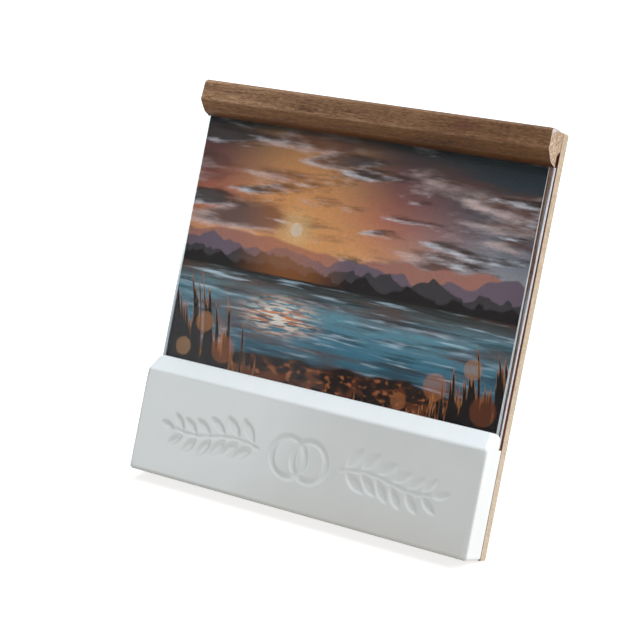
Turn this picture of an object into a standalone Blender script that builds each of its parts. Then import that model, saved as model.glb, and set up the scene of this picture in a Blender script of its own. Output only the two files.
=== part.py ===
"""Tabletop photo display that leans back on a hinged strut.

A fibreboard back carries a wood-look rail along its top and a glazed ceramic block along its
bottom. Both have a rebate behind a lip, and a clear folded sleeve with the print slides
sideways through the two rebates. Sizes are in metres and +Z is up.

The pieces are modelled in the board's own frame, which a tilted empty then leans back:
X runs across the board, Y points to the rear with 0 at the board's front face, and Z runs up
the board with 0 at its bottom edge.
"""

import math

import bmesh
import bpy
from mathutils import Matrix, Vector

# Stance
LEAN_ANGLE = math.radians(19.5)
STRUT_OPEN_ANGLE = math.radians(30.0)

# Clearances
BOND_GAP = 0.0003
SLIDE_GAP = 0.0003
POCKET_GAP = 0.0001
PIN_GAP = 0.0001
SCREW_GAP = 0.0003
TAPE_SIDE_GAP = 0.0005

# Print that the display is made for, and the white card behind it
PRINT_WIDTH = 0.1524
PRINT_HEIGHT = 0.1016
PRINT_THICKNESS = 0.00022
PRINT_SHIFT = -0.0013
PRINT_REST = 0.0016
PRINT_TILT = math.radians(0.12)
CARD_EXTRA_WIDTH = 0.0006
CARD_LESS_HEIGHT = 0.0004
CARD_THICKNESS = 0.00025
CARD_SHIFT = -0.0007
CARD_TILT = math.radians(-0.20)

# Clear sleeve
SLEEVE_OVERHANG = 0.0005
SLEEVE_TOP_MARGIN = 0.0027
SLEEVE_SHEET = 0.00025
SLEEVE_CORNER_RADIUS = 0.0030
SLEEVE_SHIFT = -0.0005

# Back board with the foil on its front
BOARD_SIDE_MARGIN = 0.0013
BOARD_CORE_THICKNESS = 0.0036
BOARD_FOIL_THICKNESS = 0.0004
BOARD_CORNER_RADIUS = 0.0009
BOARD_BELOW_RAIL_TOP = 0.0001

# Ceramic block
CERAMIC_DEPTH = 0.0104
CERAMIC_TOP_HEIGHT = 0.0462
CERAMIC_BEVEL_DROP = 0.0059
CERAMIC_REBATE_DEPTH = 0.0058
CERAMIC_RIDGE_DEPTH = 0.0053
CERAMIC_EDGE_RADIUS = 0.0012
CERAMIC_LIP_RADIUS = 0.0022
CERAMIC_END_ROUNDING = 0.0008

# Ornament pressed into the ceramic front: two linked rings between two leafy sprigs
ORNAMENT_DEPTH = 0.0008
ORNAMENT_SIDE_MARGIN = 0.0110
RING_RADIUS = 0.0076
RING_STROKE = 0.0022
RING_OFFSET = 0.0048
SPRIG_START = 0.0190
SPRIG_WAVE = 0.0014
SPRIG_WAVE_LENGTH = 0.0430
STEM_WIDTH = 0.0010
LEAF_FIRST = 0.0026
LEAF_PITCH = 0.0067
LEAF_LENGTH = 0.0104
LEAF_WIDTH = 0.0042
LEAF_ANGLE = math.radians(44.0)
LEAF_STAND = 0.0012
LEAF_TAPER = 0.30

# Tape pads that bond the ceramic block
TAPE_END_MARGIN = 0.0105
TAPE_MIDDLE_GAP = 0.014
TAPE_HEIGHT = 0.024
TAPE_THICKNESS = 0.0010
TAPE_CENTRE_HEIGHT = 0.019

# Rail along the top, in heights above and drops below the low side of its shoulder
RAIL_DEPTH = 0.0091
RAIL_HEAD_ROOM = 0.0008
RAIL_ROOF = 0.0095
RAIL_ROOF_FALL = 0.0008
RAIL_BEVEL_RISE = 0.0020
RAIL_BEVEL_LOW_DROP = 0.0026
RAIL_BEVEL_LOW_DEPTH = 0.0056
RAIL_LIP_REACH = 0.0040
RAIL_SHOULDER_RISE = 0.0020
RAIL_TOP_RADIUS = 0.0010
RAIL_BEVEL_RADIUS = 0.0012
RAIL_BELLY_RADIUS = 0.0030
RAIL_WRAP_THICKNESS = 0.0004
RAIL_LIP_CLEARANCE = 0.0005

# Screws that hold the rail through the board
RAIL_SCREW_INSET = 0.0225
RAIL_SCREW_RISE = 0.0050
RAIL_SCREW_RADIUS = 0.0013
RAIL_SCREW_HEAD_RADIUS = 0.0026
RAIL_SCREW_HEAD_DEPTH = 0.0014
RAIL_SCREW_LENGTH = 0.0102
RAIL_SCREW_POINT = 0.0016
RAIL_SCREW_RECESS = 0.0028

# Hinge of the strut
HINGE_HEIGHT = 0.100
HINGE_WIDTH = 0.020
HINGE_ROLL_SLACK = 0.0001
HINGE_LEAF_THICKNESS = 0.0006
HINGE_LEAF_LENGTH = 0.015
HINGE_CENTRE_KNUCKLE = 0.008
HINGE_KNUCKLE_GAP = 0.0003
HINGE_RELIEF = 0.0006
HINGE_LEAF_CORNER = 0.0025
HINGE_PIN_RADIUS = 0.0010
HINGE_PIN_HEAD_RADIUS = 0.0015
HINGE_PIN_HEAD_LENGTH = 0.0007

# Screws and rivets of the hinge
LEAF_SCREW_SPACING = 0.011
LEAF_SCREW_RISE = 0.0095
LEAF_SCREW_RADIUS = 0.0011
LEAF_SCREW_HEAD_RADIUS = 0.0022
LEAF_SCREW_HEAD_HEIGHT = 0.0011
LEAF_SCREW_BITE = 0.0026
LEAF_SCREW_RECESS = 0.0024
RECESS_WIDTH = 0.0005
RECESS_DEPTH = 0.0006
RIVET_RADIUS = 0.0010
RIVET_HEAD_RADIUS = 0.0021
RIVET_HEAD_HEIGHT = 0.0008
RIVET_FIRST_DROP = 0.0062
RIVET_SPACING = 0.0055

# Strut
STRUT_THICKNESS = 0.0030
STRUT_HORN_WIDTH = 0.0045
STRUT_FOOT_WIDTH = 0.050
STRUT_NOTCH_CLEARANCE = 0.0015
STRUT_CORNER_RADIUS = 0.0010

# Crowns of the domed heads, as shares of the head's radius and height
PAN_HEAD_CROWN = [(0.0, 1.0), (0.6, 0.9), (0.92, 0.55), (1.0, 0.0)]
RIVET_HEAD_CROWN = [(0.0, 1.0), (0.55, 0.85), (0.88, 0.45), (1.0, 0.0)]

# Drawing steps
SHARP_ANGLE = math.radians(30.0)
RIM_ANGLE = math.radians(60.0)
ARC_STEP = math.radians(15.0)
STEP_SLACK = 0.01
ROUND_SIDES = 24
FOLD_STEPS = 8
RING_SIDES = 40
STEM_STEPS = 14
LEAF_STEPS = 6
END_ROUNDING_STEPS = 3
WELD_DISTANCE = 0.000001
CUTTER_MARGIN = 0.001

# Sizes that follow from the print
BOARD_WIDTH = PRINT_WIDTH + 2 * BOARD_SIDE_MARGIN
CERAMIC_WIDTH = BOARD_WIDTH
RAIL_WIDTH = BOARD_WIDTH
SLEEVE_WIDTH = BOARD_WIDTH + SLEEVE_OVERHANG
CARD_WIDTH = PRINT_WIDTH + CARD_EXTRA_WIDTH
CARD_HEIGHT = PRINT_HEIGHT - CARD_LESS_HEIGHT
RAIL_SCREW_SPACING = RAIL_WIDTH - 2 * RAIL_SCREW_INSET
TAPE_LENGTH = CERAMIC_WIDTH / 2 - TAPE_END_MARGIN - TAPE_MIDDLE_GAP / 2
TAPE_SPACING = TAPE_LENGTH + TAPE_MIDDLE_GAP
SPRIG_LENGTH = CERAMIC_WIDTH / 2 - ORNAMENT_SIDE_MARGIN - SPRIG_START

# Heights that follow from the ceramic block and the print, in the board's frame
CERAMIC_FRONT_HEIGHT = CERAMIC_TOP_HEIGHT - CERAMIC_BEVEL_DROP
CERAMIC_REBATE_FLOOR = CERAMIC_TOP_HEIGHT - CERAMIC_REBATE_DEPTH
ORNAMENT_HEIGHT = CERAMIC_FRONT_HEIGHT / 2
SLEEVE_BOTTOM = CERAMIC_REBATE_FLOOR + SLIDE_GAP
PRINT_BOTTOM_HEIGHT = SLEEVE_BOTTOM + PRINT_REST
SLEEVE_TOP_HEIGHT = PRINT_BOTTOM_HEIGHT + PRINT_HEIGHT + SLEEVE_TOP_MARGIN
RAIL_SHOULDER_LOW = SLEEVE_TOP_HEIGHT + RAIL_HEAD_ROOM
RAIL_SHOULDER_HIGH = RAIL_SHOULDER_LOW + RAIL_SHOULDER_RISE
RAIL_TOP_FRONT = RAIL_SHOULDER_LOW + RAIL_ROOF
RAIL_TOP_BACK = RAIL_TOP_FRONT - RAIL_ROOF_FALL
RAIL_BEVEL_TOP = RAIL_SHOULDER_LOW + RAIL_BEVEL_RISE
RAIL_BEVEL_LOW = RAIL_SHOULDER_LOW - RAIL_BEVEL_LOW_DROP
RAIL_TIP_HEIGHT = RAIL_SHOULDER_LOW - RAIL_LIP_REACH
RAIL_SCREW_HEIGHT = RAIL_SHOULDER_LOW + RAIL_SCREW_RISE
BOARD_HEIGHT = RAIL_TOP_BACK - BOARD_BELOW_RAIL_TOP

# Depths that follow from the layers, in the board's frame
BOARD_CORE_FRONT = BOARD_FOIL_THICKNESS + BOND_GAP
BOARD_BACK = BOARD_CORE_FRONT + BOARD_CORE_THICKNESS
SLEEVE_BACK = -SLIDE_GAP
SLEEVE_REAR_INSIDE = SLEEVE_BACK - SLEEVE_SHEET
CARD_BACK = SLEEVE_REAR_INSIDE - POCKET_GAP
PRINT_BACK = CARD_BACK - CARD_THICKNESS - POCKET_GAP
SLEEVE_FRONT_INSIDE = PRINT_BACK - PRINT_THICKNESS - POCKET_GAP
SLEEVE_FRONT = SLEEVE_FRONT_INSIDE - SLEEVE_SHEET
CERAMIC_LIP_BACK = SLEEVE_FRONT - SLIDE_GAP
RAIL_LIP_BACK = SLEEVE_FRONT - RAIL_LIP_CLEARANCE

# Hinge and strut
HINGE_BARREL_RADIUS = HINGE_PIN_RADIUS + PIN_GAP + HINGE_LEAF_THICKNESS + HINGE_ROLL_SLACK
HINGE_PIN_REACH = HINGE_WIDTH / 2 + HINGE_KNUCKLE_GAP
HINGE_PIN_TIP = HINGE_PIN_REACH + HINGE_PIN_HEAD_LENGTH
STRUT_NOTCH_HALF = HINGE_PIN_TIP + STRUT_NOTCH_CLEARANCE
STRUT_TOP_HALF = STRUT_NOTCH_HALF + STRUT_HORN_WIDTH
PIVOT_BACK = BOARD_BACK + BOND_GAP + HINGE_BARREL_RADIUS
STRUT_INNER_FACE = -HINGE_BARREL_RADIUS + HINGE_LEAF_THICKNESS + BOND_GAP
STRUT_OUTER_FACE = STRUT_INNER_FACE + STRUT_THICKNESS
STRUT_SLANT = STRUT_OPEN_ANGLE - LEAN_ANGLE

# Orientations: an outline is drawn in X and Y and thickened along Z
FACING = Matrix.Rotation(math.radians(90.0), 4, "X")
SIDEWAYS = Matrix.Rotation(math.radians(90.0), 4, "Z") @ FACING
AXIS_TO_REAR = (math.radians(-90.0), 0.0, 0.0)
AXIS_SIDEWAYS = (0.0, math.radians(90.0), 0.0)


def clear_scene():
    """Empty the scene, so that only this model is in it."""
    for item in list(bpy.data.objects):
        bpy.data.objects.remove(item, do_unlink=True)


def new_collection(name):
    collection = bpy.data.collections.new(name)
    bpy.context.scene.collection.children.link(collection)
    return collection


def new_empty(name, parent=None, location=(0.0, 0.0, 0.0), tilt=0.0):
    """An empty that carries pieces, turned about X by tilt."""
    empty = bpy.data.objects.new(name, None)
    PARTS.objects.link(empty)
    empty.parent = parent
    empty.location = location
    empty.rotation_euler = (tilt, 0.0, 0.0)
    return empty


def new_material(name, colour, roughness, metallic=0.0, alpha=1.0):
    material = bpy.data.materials.new(name)
    material.use_nodes = True
    shader = material.node_tree.nodes["Principled BSDF"]
    shader.inputs["Base Color"].default_value = (*colour, 1.0)
    shader.inputs["Roughness"].default_value = roughness
    shader.inputs["Metallic"].default_value = metallic
    shader.inputs["Alpha"].default_value = alpha
    return material


def add_piece(name, mesh, material, parent, location=(0.0, 0.0, 0.0), turn=(0.0, 0.0, 0.0)):
    """Put a mesh in the model as one named piece."""
    piece = bpy.data.objects.new(name, mesh)
    PARTS.objects.link(piece)
    mesh.materials.append(material)
    mesh.shade_smooth()
    mesh.set_sharp_from_angle(angle=SHARP_ANGLE)
    piece.parent = parent
    piece.location = location
    piece.rotation_euler = turn
    return piece


def add_cutter(name, mesh, parent, location=(0.0, 0.0, 0.0), turn=(0.0, 0.0, 0.0)):
    """Put a mesh among the cutters, which shape other pieces and are no pieces themselves."""
    cutter = bpy.data.objects.new(name, mesh)
    CUTTERS.objects.link(cutter)
    cutter.parent = parent
    cutter.location = location
    cutter.rotation_euler = turn
    cutter.hide_render = True
    cutter.display_type = "WIRE"
    return cutter


def combine(piece, other, operation):
    """Join to, cut from or keep within another shape."""
    step = piece.modifiers.new(f"{operation.lower()}_{other.name}", "BOOLEAN")
    step.operation = operation
    step.solver = "EXACT"
    step.object = other


def arc_points(centre, radius, start, turn):
    """Points on an arc from the angle start through the angle turn, about ARC_STEP apart."""
    steps = max(2, math.ceil(abs(turn) / ARC_STEP - STEP_SLACK))
    angles = [start + turn * step / steps for step in range(steps + 1)]
    return [
        (centre[0] + radius * math.cos(angle), centre[1] + radius * math.sin(angle))
        for angle in angles
    ]


def corner_turn(before, corner, after):
    """The angle by which an outline turns at a corner, positive to the left."""
    arriving = Vector(corner[:2]) - Vector(before[:2])
    leaving = Vector(after[:2]) - Vector(corner[:2])
    return -arriving.angle_signed(leaving)


def rounded_outline(corners, closed=True):
    """Points of an outline whose corners (x, y, radius) are rounded.

    Two fillets that would meet on their common edge are shrunk to share it.
    """
    count = len(corners)
    turns = [0.0] * count
    reach = [0.0] * count
    inner = range(count) if closed else range(1, count - 1)
    for i in inner:
        turns[i] = corner_turn(corners[i - 1], corners[i], corners[(i + 1) % count])
        reach[i] = corners[i][2] * math.tan(abs(turns[i]) / 2)
    share = [1.0] * count
    for i in range(count if closed else count - 1):
        j = (i + 1) % count
        edge = (Vector(corners[j][:2]) - Vector(corners[i][:2])).length
        wanted = reach[i] + reach[j]
        if wanted > edge:
            share[i] = min(share[i], edge / wanted)
            share[j] = min(share[j], edge / wanted)
    points = []
    for i, (x, y, radius) in enumerate(corners):
        if reach[i] == 0.0:
            points.append((x, y))
            continue
        arriving = (Vector((x, y)) - Vector(corners[i - 1][:2])).normalized()
        side = math.copysign(1.0, turns[i])
        radius = radius * share[i]
        start = Vector((x, y)) - arriving * reach[i] * share[i]
        across = Vector((-arriving.y, arriving.x)) * side
        centre = start + across * radius
        first = math.atan2(-across.y, -across.x)
        points.extend(arc_points(centre, radius, first, turns[i]))
    return points


def inset_chain(corners, distance):
    """An open chain of corners moved to its left by distance, with smaller radii.

    The ends stay on the upright planes that they start on.
    """
    moved = []
    for before, after in zip(corners, corners[1:]):
        along = (Vector(after[:2]) - Vector(before[:2])).normalized()
        across = Vector((-along.y, along.x)) * distance
        moved.append((Vector(before[:2]) + across, along))
    result = []
    for i, (x, y, radius) in enumerate(corners):
        start, along = moved[min(i, len(moved) - 1)]
        if i in (0, len(corners) - 1):
            point = start + along * ((x - start.x) / along.x)
        else:
            earlier, direction = moved[i - 1]
            gap = start - earlier
            travel = gap.cross(along) / direction.cross(along)
            point = earlier + direction * travel
        result.append((point.x, point.y, max(radius - distance, 0.0)))
    return result


def circle_points(radius, centre=(0.0, 0.0), sides=ROUND_SIDES):
    """A full circle with a flat side facing each axis."""
    half_side = math.pi / sides
    return [
        (
            centre[0] + radius * math.cos(half_side * (2 * side + 1)),
            centre[1] + radius * math.sin(half_side * (2 * side + 1)),
        )
        for side in range(sides)
    ]


def drawn_mesh(name, outlines, depth, plane, filled=True):
    """The mesh of 2D outlines thickened by depth about their plane.

    A filled set of closed outlines becomes a plate, the inner ones its holes. An open
    outline that isn't filled becomes a strip.
    """
    curve = bpy.data.curves.new(name, "CURVE")
    curve.dimensions = "2D"
    curve.fill_mode = "BOTH" if filled else "NONE"
    curve.extrude = depth / 2
    for points in outlines:
        spline = curve.splines.new("POLY")
        spline.points.add(len(points) - 1)
        for point, (x, y) in zip(spline.points, points):
            point.co = (x, y, 0.0, 1.0)
        spline.use_cyclic_u = filled
    drawing = bpy.data.objects.new(name, curve)
    CUTTERS.objects.link(drawing)
    bpy.context.view_layer.update()
    evaluated = drawing.evaluated_get(bpy.context.evaluated_depsgraph_get())
    mesh = bpy.data.meshes.new_from_object(evaluated)
    mesh.name = name
    bpy.data.objects.remove(drawing)
    shape = bmesh.new()
    shape.from_mesh(mesh)
    bmesh.ops.remove_doubles(shape, verts=shape.verts, dist=WELD_DISTANCE)
    bmesh.ops.transform(shape, matrix=plane, verts=shape.verts)
    bmesh.ops.recalc_face_normals(shape, faces=shape.faces)
    shape.to_mesh(mesh)
    shape.free()
    return mesh


def turned_profile(name, profile):
    """A chain of edges through (radius, height) points, listed from top to bottom."""
    mesh = bpy.data.meshes.new(name)
    points = [(radius, 0.0, height) for radius, height in profile]
    mesh.from_pydata(points, [(i, i + 1) for i in range(len(points) - 1)], [])
    return mesh


def turn_on_lathe(piece):
    """Turn the object's profile about its own Z."""
    lathe = piece.modifiers.new("turned", "SCREW")
    lathe.steps = ROUND_SIDES
    lathe.render_steps = ROUND_SIDES
    lathe.use_merge_vertices = True
    lathe.merge_threshold = WELD_DISTANCE
    return piece


def cylinder_mesh(name, radius, length):
    """A cylinder along X about its centre, with a flat side facing each axis."""
    lay_down = Matrix.Rotation(math.radians(90.0), 4, "Y")
    half_side = Matrix.Rotation(math.pi / ROUND_SIDES, 4, "Z")
    shape = bmesh.new()
    bmesh.ops.create_cone(
        shape,
        cap_ends=True,
        segments=ROUND_SIDES,
        radius1=radius,
        radius2=radius,
        depth=length,
        matrix=lay_down @ half_side,
    )
    mesh = bpy.data.meshes.new(name)
    shape.to_mesh(mesh)
    shape.free()
    return mesh


def box_mesh(name, width, depth, height):
    """A box about its centre."""
    shape = bmesh.new()
    bmesh.ops.create_cube(shape, size=1.0)
    bmesh.ops.scale(shape, vec=(width, depth, height), verts=shape.verts)
    mesh = bpy.data.meshes.new(name)
    shape.to_mesh(mesh)
    shape.free()
    return mesh


def round_ends(piece, width, radius):
    """Round the edges of the two end faces, and leave the long edges as the profile has them."""
    shape = bmesh.new()
    shape.from_mesh(piece.data)
    weight = shape.edges.layers.float.new("bevel_weight_edge")
    for edge in shape.edges:
        at_end = all(abs(abs(vert.co.x) - width / 2) < WELD_DISTANCE for vert in edge.verts)
        on_rim = at_end and len(edge.link_faces) == 2 and edge.calc_face_angle() > RIM_ANGLE
        edge[weight] = 1.0 if on_rim else 0.0
    shape.to_mesh(piece.data)
    shape.free()
    rounding = piece.modifiers.new("end_rounding", "BEVEL")
    rounding.limit_method = "WEIGHT"
    rounding.width = radius
    rounding.segments = END_ROUNDING_STEPS
    rounding.use_clamp_overlap = True


def cut_recess(screw, length, head_top, parent):
    """Cut the two crossed slots of a screwdriver recess into the top of a screw's head."""
    for turn in (0.0, math.radians(90.0)):
        slot = add_cutter(
            f"{screw.name}_slot_{round(math.degrees(turn))}",
            box_mesh(f"{screw.name}_slot", length, RECESS_WIDTH, 2 * RECESS_DEPTH),
            parent,
            screw.location + Vector((0.0, head_top, 0.0)),
        )
        slot.rotation_euler = (Matrix.Rotation(turn, 3, "Y") @ FACING.to_3x3()).to_euler()
        combine(screw, slot, "DIFFERENCE")


def rail_front_chain():
    """Corners of the rail's outer face, from its back edge over the top to the lip's tip."""
    return [
        (-BOND_GAP, RAIL_TOP_BACK, 0.0),
        (-RAIL_DEPTH, RAIL_TOP_FRONT, RAIL_TOP_RADIUS),
        (-RAIL_DEPTH, RAIL_BEVEL_TOP, RAIL_BEVEL_RADIUS),
        (-RAIL_BEVEL_LOW_DEPTH, RAIL_BEVEL_LOW, RAIL_BELLY_RADIUS),
        (RAIL_LIP_BACK, RAIL_TIP_HEIGHT, 0.0),
    ]


def rail_screw_profile():
    """Countersunk screw, head upwards, with 0 at the top of its head."""
    return [
        (0.0, 0.0),
        (RAIL_SCREW_HEAD_RADIUS, 0.0),
        (RAIL_SCREW_RADIUS, -RAIL_SCREW_HEAD_DEPTH),
        (RAIL_SCREW_RADIUS, RAIL_SCREW_POINT - RAIL_SCREW_LENGTH),
        (0.0, -RAIL_SCREW_LENGTH),
    ]


def rail_hole_profile():
    """The screw's hole: countersunk at its mouth, wider all over, and open to the rear."""
    mouth = RAIL_SCREW_HEAD_RADIUS + SCREW_GAP
    bore = RAIL_SCREW_RADIUS + SCREW_GAP
    depth = RAIL_SCREW_LENGTH + SCREW_GAP
    return [
        (0.0, CUTTER_MARGIN),
        (mouth, CUTTER_MARGIN),
        (mouth, 0.0),
        (bore, -RAIL_SCREW_HEAD_DEPTH),
        (bore, -depth),
        (0.0, -depth),
    ]


def crown_profile(crown, radius, height):
    """Profile of a domed head from its middle to its rim, with 0 under the head."""
    return [(radius * out, height * up) for out, up in crown]


def leaf_screw_profile():
    """Pan head screw, head upwards, with 0 under the head."""
    length = BOND_GAP * 2 + HINGE_LEAF_THICKNESS + LEAF_SCREW_BITE
    return [
        *crown_profile(PAN_HEAD_CROWN, LEAF_SCREW_HEAD_RADIUS, LEAF_SCREW_HEAD_HEIGHT),
        (LEAF_SCREW_RADIUS, 0.0),
        (LEAF_SCREW_RADIUS, LEAF_SCREW_RADIUS - length),
        (0.0, -length),
    ]


def make_board(parent):
    """Fibreboard core and the printed foil on its front, both drilled for the rail screws."""
    half = BOARD_WIDTH / 2
    outline = rounded_outline([
        (-half, 0.0, 0.0),
        (half, 0.0, 0.0),
        (half, BOARD_HEIGHT, BOARD_CORNER_RADIUS),
        (-half, BOARD_HEIGHT, BOARD_CORNER_RADIUS),
    ])
    core = add_piece(
        "back_board",
        drawn_mesh("back_board", [outline], BOARD_CORE_THICKNESS, FACING),
        new_material("raw_fibreboard", (0.46, 0.34, 0.22), 0.85),
        parent,
        (0.0, BOARD_CORE_FRONT + BOARD_CORE_THICKNESS / 2, 0.0),
    )
    foil = add_piece(
        "board_front_foil",
        drawn_mesh("board_front_foil", [outline], BOARD_FOIL_THICKNESS, FACING),
        new_material("board_foil", (0.13, 0.065, 0.035), 0.45),
        parent,
        (0.0, BOARD_FOIL_THICKNESS / 2, 0.0),
    )
    pilot_radius = LEAF_SCREW_RADIUS + SCREW_GAP
    pilot_depth = LEAF_SCREW_BITE + SCREW_GAP
    pilot_profile = [
        (0.0, CUTTER_MARGIN),
        (pilot_radius, CUTTER_MARGIN),
        (pilot_radius, -pilot_depth),
        (0.0, -pilot_depth),
    ]
    for side, x in (("left", -LEAF_SCREW_SPACING / 2), ("right", LEAF_SCREW_SPACING / 2)):
        pilot = add_cutter(
            f"leaf_pilot_{side}",
            turned_profile(f"leaf_pilot_{side}", pilot_profile),
            parent,
            (x, BOARD_BACK, HINGE_HEIGHT + LEAF_SCREW_RISE),
            AXIS_TO_REAR,
        )
        combine(core, turn_on_lathe(pilot), "DIFFERENCE")
    return core, foil


def leaf_outline(base, angle, length, width):
    """A leaf from its base point along angle: two arcs that meet in a point at each end."""
    radius = (length**2 + width**2) / (4 * width)
    half_angle = math.asin(length / (2 * radius))
    sink = radius - width / 2
    side = [
        (
            length / 2 + radius * math.sin(half_angle * (2 * step / LEAF_STEPS - 1)),
            radius * math.cos(half_angle * (2 * step / LEAF_STEPS - 1)) - sink,
        )
        for step in range(LEAF_STEPS + 1)
    ]
    around = [(x, -y) for x, y in side] + side[-2:0:-1]
    cosine = math.cos(angle)
    sine = math.sin(angle)
    return [
        (base[0] + x * cosine - y * sine, base[1] + x * sine + y * cosine) for x, y in around
    ]


def stem_point(along):
    """Point of the sprig's waved stem at a distance along it, and the stem's direction."""
    wave = math.tau * along / SPRIG_WAVE_LENGTH
    slope = SPRIG_WAVE * math.tau * math.cos(wave) / SPRIG_WAVE_LENGTH
    return (SPRIG_START + along, SPRIG_WAVE * math.sin(wave)), math.atan(slope)


def sprig_outlines():
    """Outlines of one sprig that grows towards +X: its stem, its leaf pairs and its tip leaf."""
    tip_size = 1.0 - LEAF_TAPER
    stem_length = SPRIG_LENGTH - LEAF_STAND - LEAF_LENGTH * tip_size
    upper = []
    lower = []
    for step in range(STEM_STEPS + 1):
        (x, y), angle = stem_point(stem_length * step / STEM_STEPS)
        reach = STEM_WIDTH / 2
        upper.append((x - reach * math.sin(angle), y + reach * math.cos(angle)))
        lower.append((x + reach * math.sin(angle), y - reach * math.cos(angle)))
    outlines = [lower + upper[::-1]]
    for pair in range(1 + int((stem_length - LEAF_FIRST) / LEAF_PITCH)):
        along = LEAF_FIRST + LEAF_PITCH * pair
        (x, y), angle = stem_point(along)
        size = 1.0 - LEAF_TAPER * along / stem_length
        for side in (1.0, -1.0):
            base = (
                x - side * LEAF_STAND * math.sin(angle),
                y + side * LEAF_STAND * math.cos(angle),
            )
            heading = angle + side * LEAF_ANGLE
            outlines.append(leaf_outline(base, heading, LEAF_LENGTH * size, LEAF_WIDTH * size))
    (x, y), angle = stem_point(stem_length)
    tip = (x + LEAF_STAND, y)
    outlines.append(leaf_outline(tip, angle, LEAF_LENGTH * tip_size, LEAF_WIDTH * tip_size))
    return outlines


def press_ornament(block, parent):
    """Sink the rings and the two sprigs into the front of the ceramic block."""
    sprig = sprig_outlines()
    mirrored = [[(-x, y) for x, y in outline] for outline in sprig]
    ring = [
        circle_points(RING_RADIUS + RING_STROKE / 2, sides=RING_SIDES),
        circle_points(RING_RADIUS - RING_STROKE / 2, sides=RING_SIDES),
    ]
    stamps = [
        ("sprig_right", sprig, 0.0),
        ("sprig_left", mirrored, 0.0),
        ("ring_right", ring, RING_OFFSET),
        ("ring_left", ring, -RING_OFFSET),
    ]
    for name, outlines, x in stamps:
        stamp = add_cutter(
            f"stamp_{name}",
            drawn_mesh(f"stamp_{name}", outlines, 2 * ORNAMENT_DEPTH, FACING),
            parent,
            (x, -CERAMIC_DEPTH, ORNAMENT_HEIGHT),
        )
        combine(block, stamp, "DIFFERENCE")


def make_ceramic(parent):
    """Glazed block: bevelled top, rebate behind the lip, two shallow pockets for the tape."""
    profile = rounded_outline([
        (-BOND_GAP, 0.0, 0.0),
        (-BOND_GAP, CERAMIC_REBATE_FLOOR, 0.0),
        (CERAMIC_LIP_BACK, CERAMIC_REBATE_FLOOR, 0.0),
        (CERAMIC_LIP_BACK, CERAMIC_TOP_HEIGHT, CERAMIC_LIP_RADIUS),
        (-CERAMIC_RIDGE_DEPTH, CERAMIC_TOP_HEIGHT, CERAMIC_LIP_RADIUS),
        (-CERAMIC_DEPTH, CERAMIC_FRONT_HEIGHT, CERAMIC_EDGE_RADIUS),
        (-CERAMIC_DEPTH, 0.0, CERAMIC_EDGE_RADIUS),
    ])
    block = add_piece(
        "ceramic_base",
        drawn_mesh("ceramic_base", [profile], CERAMIC_WIDTH, SIDEWAYS),
        new_material("white_glaze", (0.80, 0.81, 0.80), 0.12),
        parent,
    )
    round_ends(block, CERAMIC_WIDTH, CERAMIC_END_ROUNDING)
    press_ornament(block, parent)
    foam = new_material("foam_tape", (0.62, 0.60, 0.56), 0.9)
    pocket_depth = TAPE_THICKNESS + BOND_GAP
    for side, x in (("left", -TAPE_SPACING / 2), ("right", TAPE_SPACING / 2)):
        pocket = add_cutter(
            f"tape_pocket_{side}",
            box_mesh(
                f"tape_pocket_{side}",
                TAPE_LENGTH + 2 * TAPE_SIDE_GAP,
                pocket_depth + CUTTER_MARGIN,
                TAPE_HEIGHT + 2 * TAPE_SIDE_GAP,
            ),
            parent,
            (x, -BOND_GAP - (pocket_depth - CUTTER_MARGIN) / 2, TAPE_CENTRE_HEIGHT),
        )
        combine(block, pocket, "DIFFERENCE")
        add_piece(
            f"tape_pad_{side}",
            box_mesh(f"tape_pad_{side}", TAPE_LENGTH, TAPE_THICKNESS, TAPE_HEIGHT),
            foam,
            parent,
            (x, -BOND_GAP - TAPE_THICKNESS / 2, TAPE_CENTRE_HEIGHT),
        )


def make_rail(parent, board_pieces):
    """Fibreboard rail, the wood-look wrap round its front, and the screws from behind."""
    outer = rail_front_chain()
    inner = inset_chain(outer, RAIL_WRAP_THICKNESS + BOND_GAP)
    profile = rounded_outline(inner + [
        (RAIL_LIP_BACK, RAIL_SHOULDER_LOW, 0.0),
        (-BOND_GAP, RAIL_SHOULDER_HIGH, 0.0),
    ])
    core = add_piece(
        "top_rail_core",
        drawn_mesh("top_rail_core", [profile], RAIL_WIDTH, SIDEWAYS),
        new_material("rail_fibreboard", (0.58, 0.45, 0.31), 0.8),
        parent,
    )
    middle = inset_chain(outer, RAIL_WRAP_THICKNESS / 2)
    wrap = add_piece(
        "top_rail_wrap",
        drawn_mesh(
            "top_rail_wrap", [rounded_outline(middle, closed=False)], RAIL_WIDTH, SIDEWAYS, False
        ),
        new_material("walnut_foil", (0.19, 0.105, 0.06), 0.42),
        parent,
    )
    shell = wrap.modifiers.new("wrap_thickness", "SOLIDIFY")
    shell.thickness = RAIL_WRAP_THICKNESS
    shell.offset = 0.0
    shell.use_even_offset = True
    steel = new_material("zinc_plated_screw", (0.62, 0.60, 0.52), 0.35, 1.0)
    for side, x in (("left", -RAIL_SCREW_SPACING / 2), ("right", RAIL_SCREW_SPACING / 2)):
        place = (x, BOARD_BACK - SCREW_GAP, RAIL_SCREW_HEIGHT)
        hole = add_cutter(
            f"rail_hole_{side}",
            turned_profile(f"rail_hole_{side}", rail_hole_profile()),
            parent,
            place,
            AXIS_TO_REAR,
        )
        turn_on_lathe(hole)
        for drilled in (*board_pieces, core):
            combine(drilled, hole, "DIFFERENCE")
        screw = add_piece(
            f"rail_screw_{side}",
            turned_profile(f"rail_screw_{side}", rail_screw_profile()),
            steel,
            parent,
            place,
            AXIS_TO_REAR,
        )
        cut_recess(turn_on_lathe(screw), RAIL_SCREW_RECESS, 0.0, parent)


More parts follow.
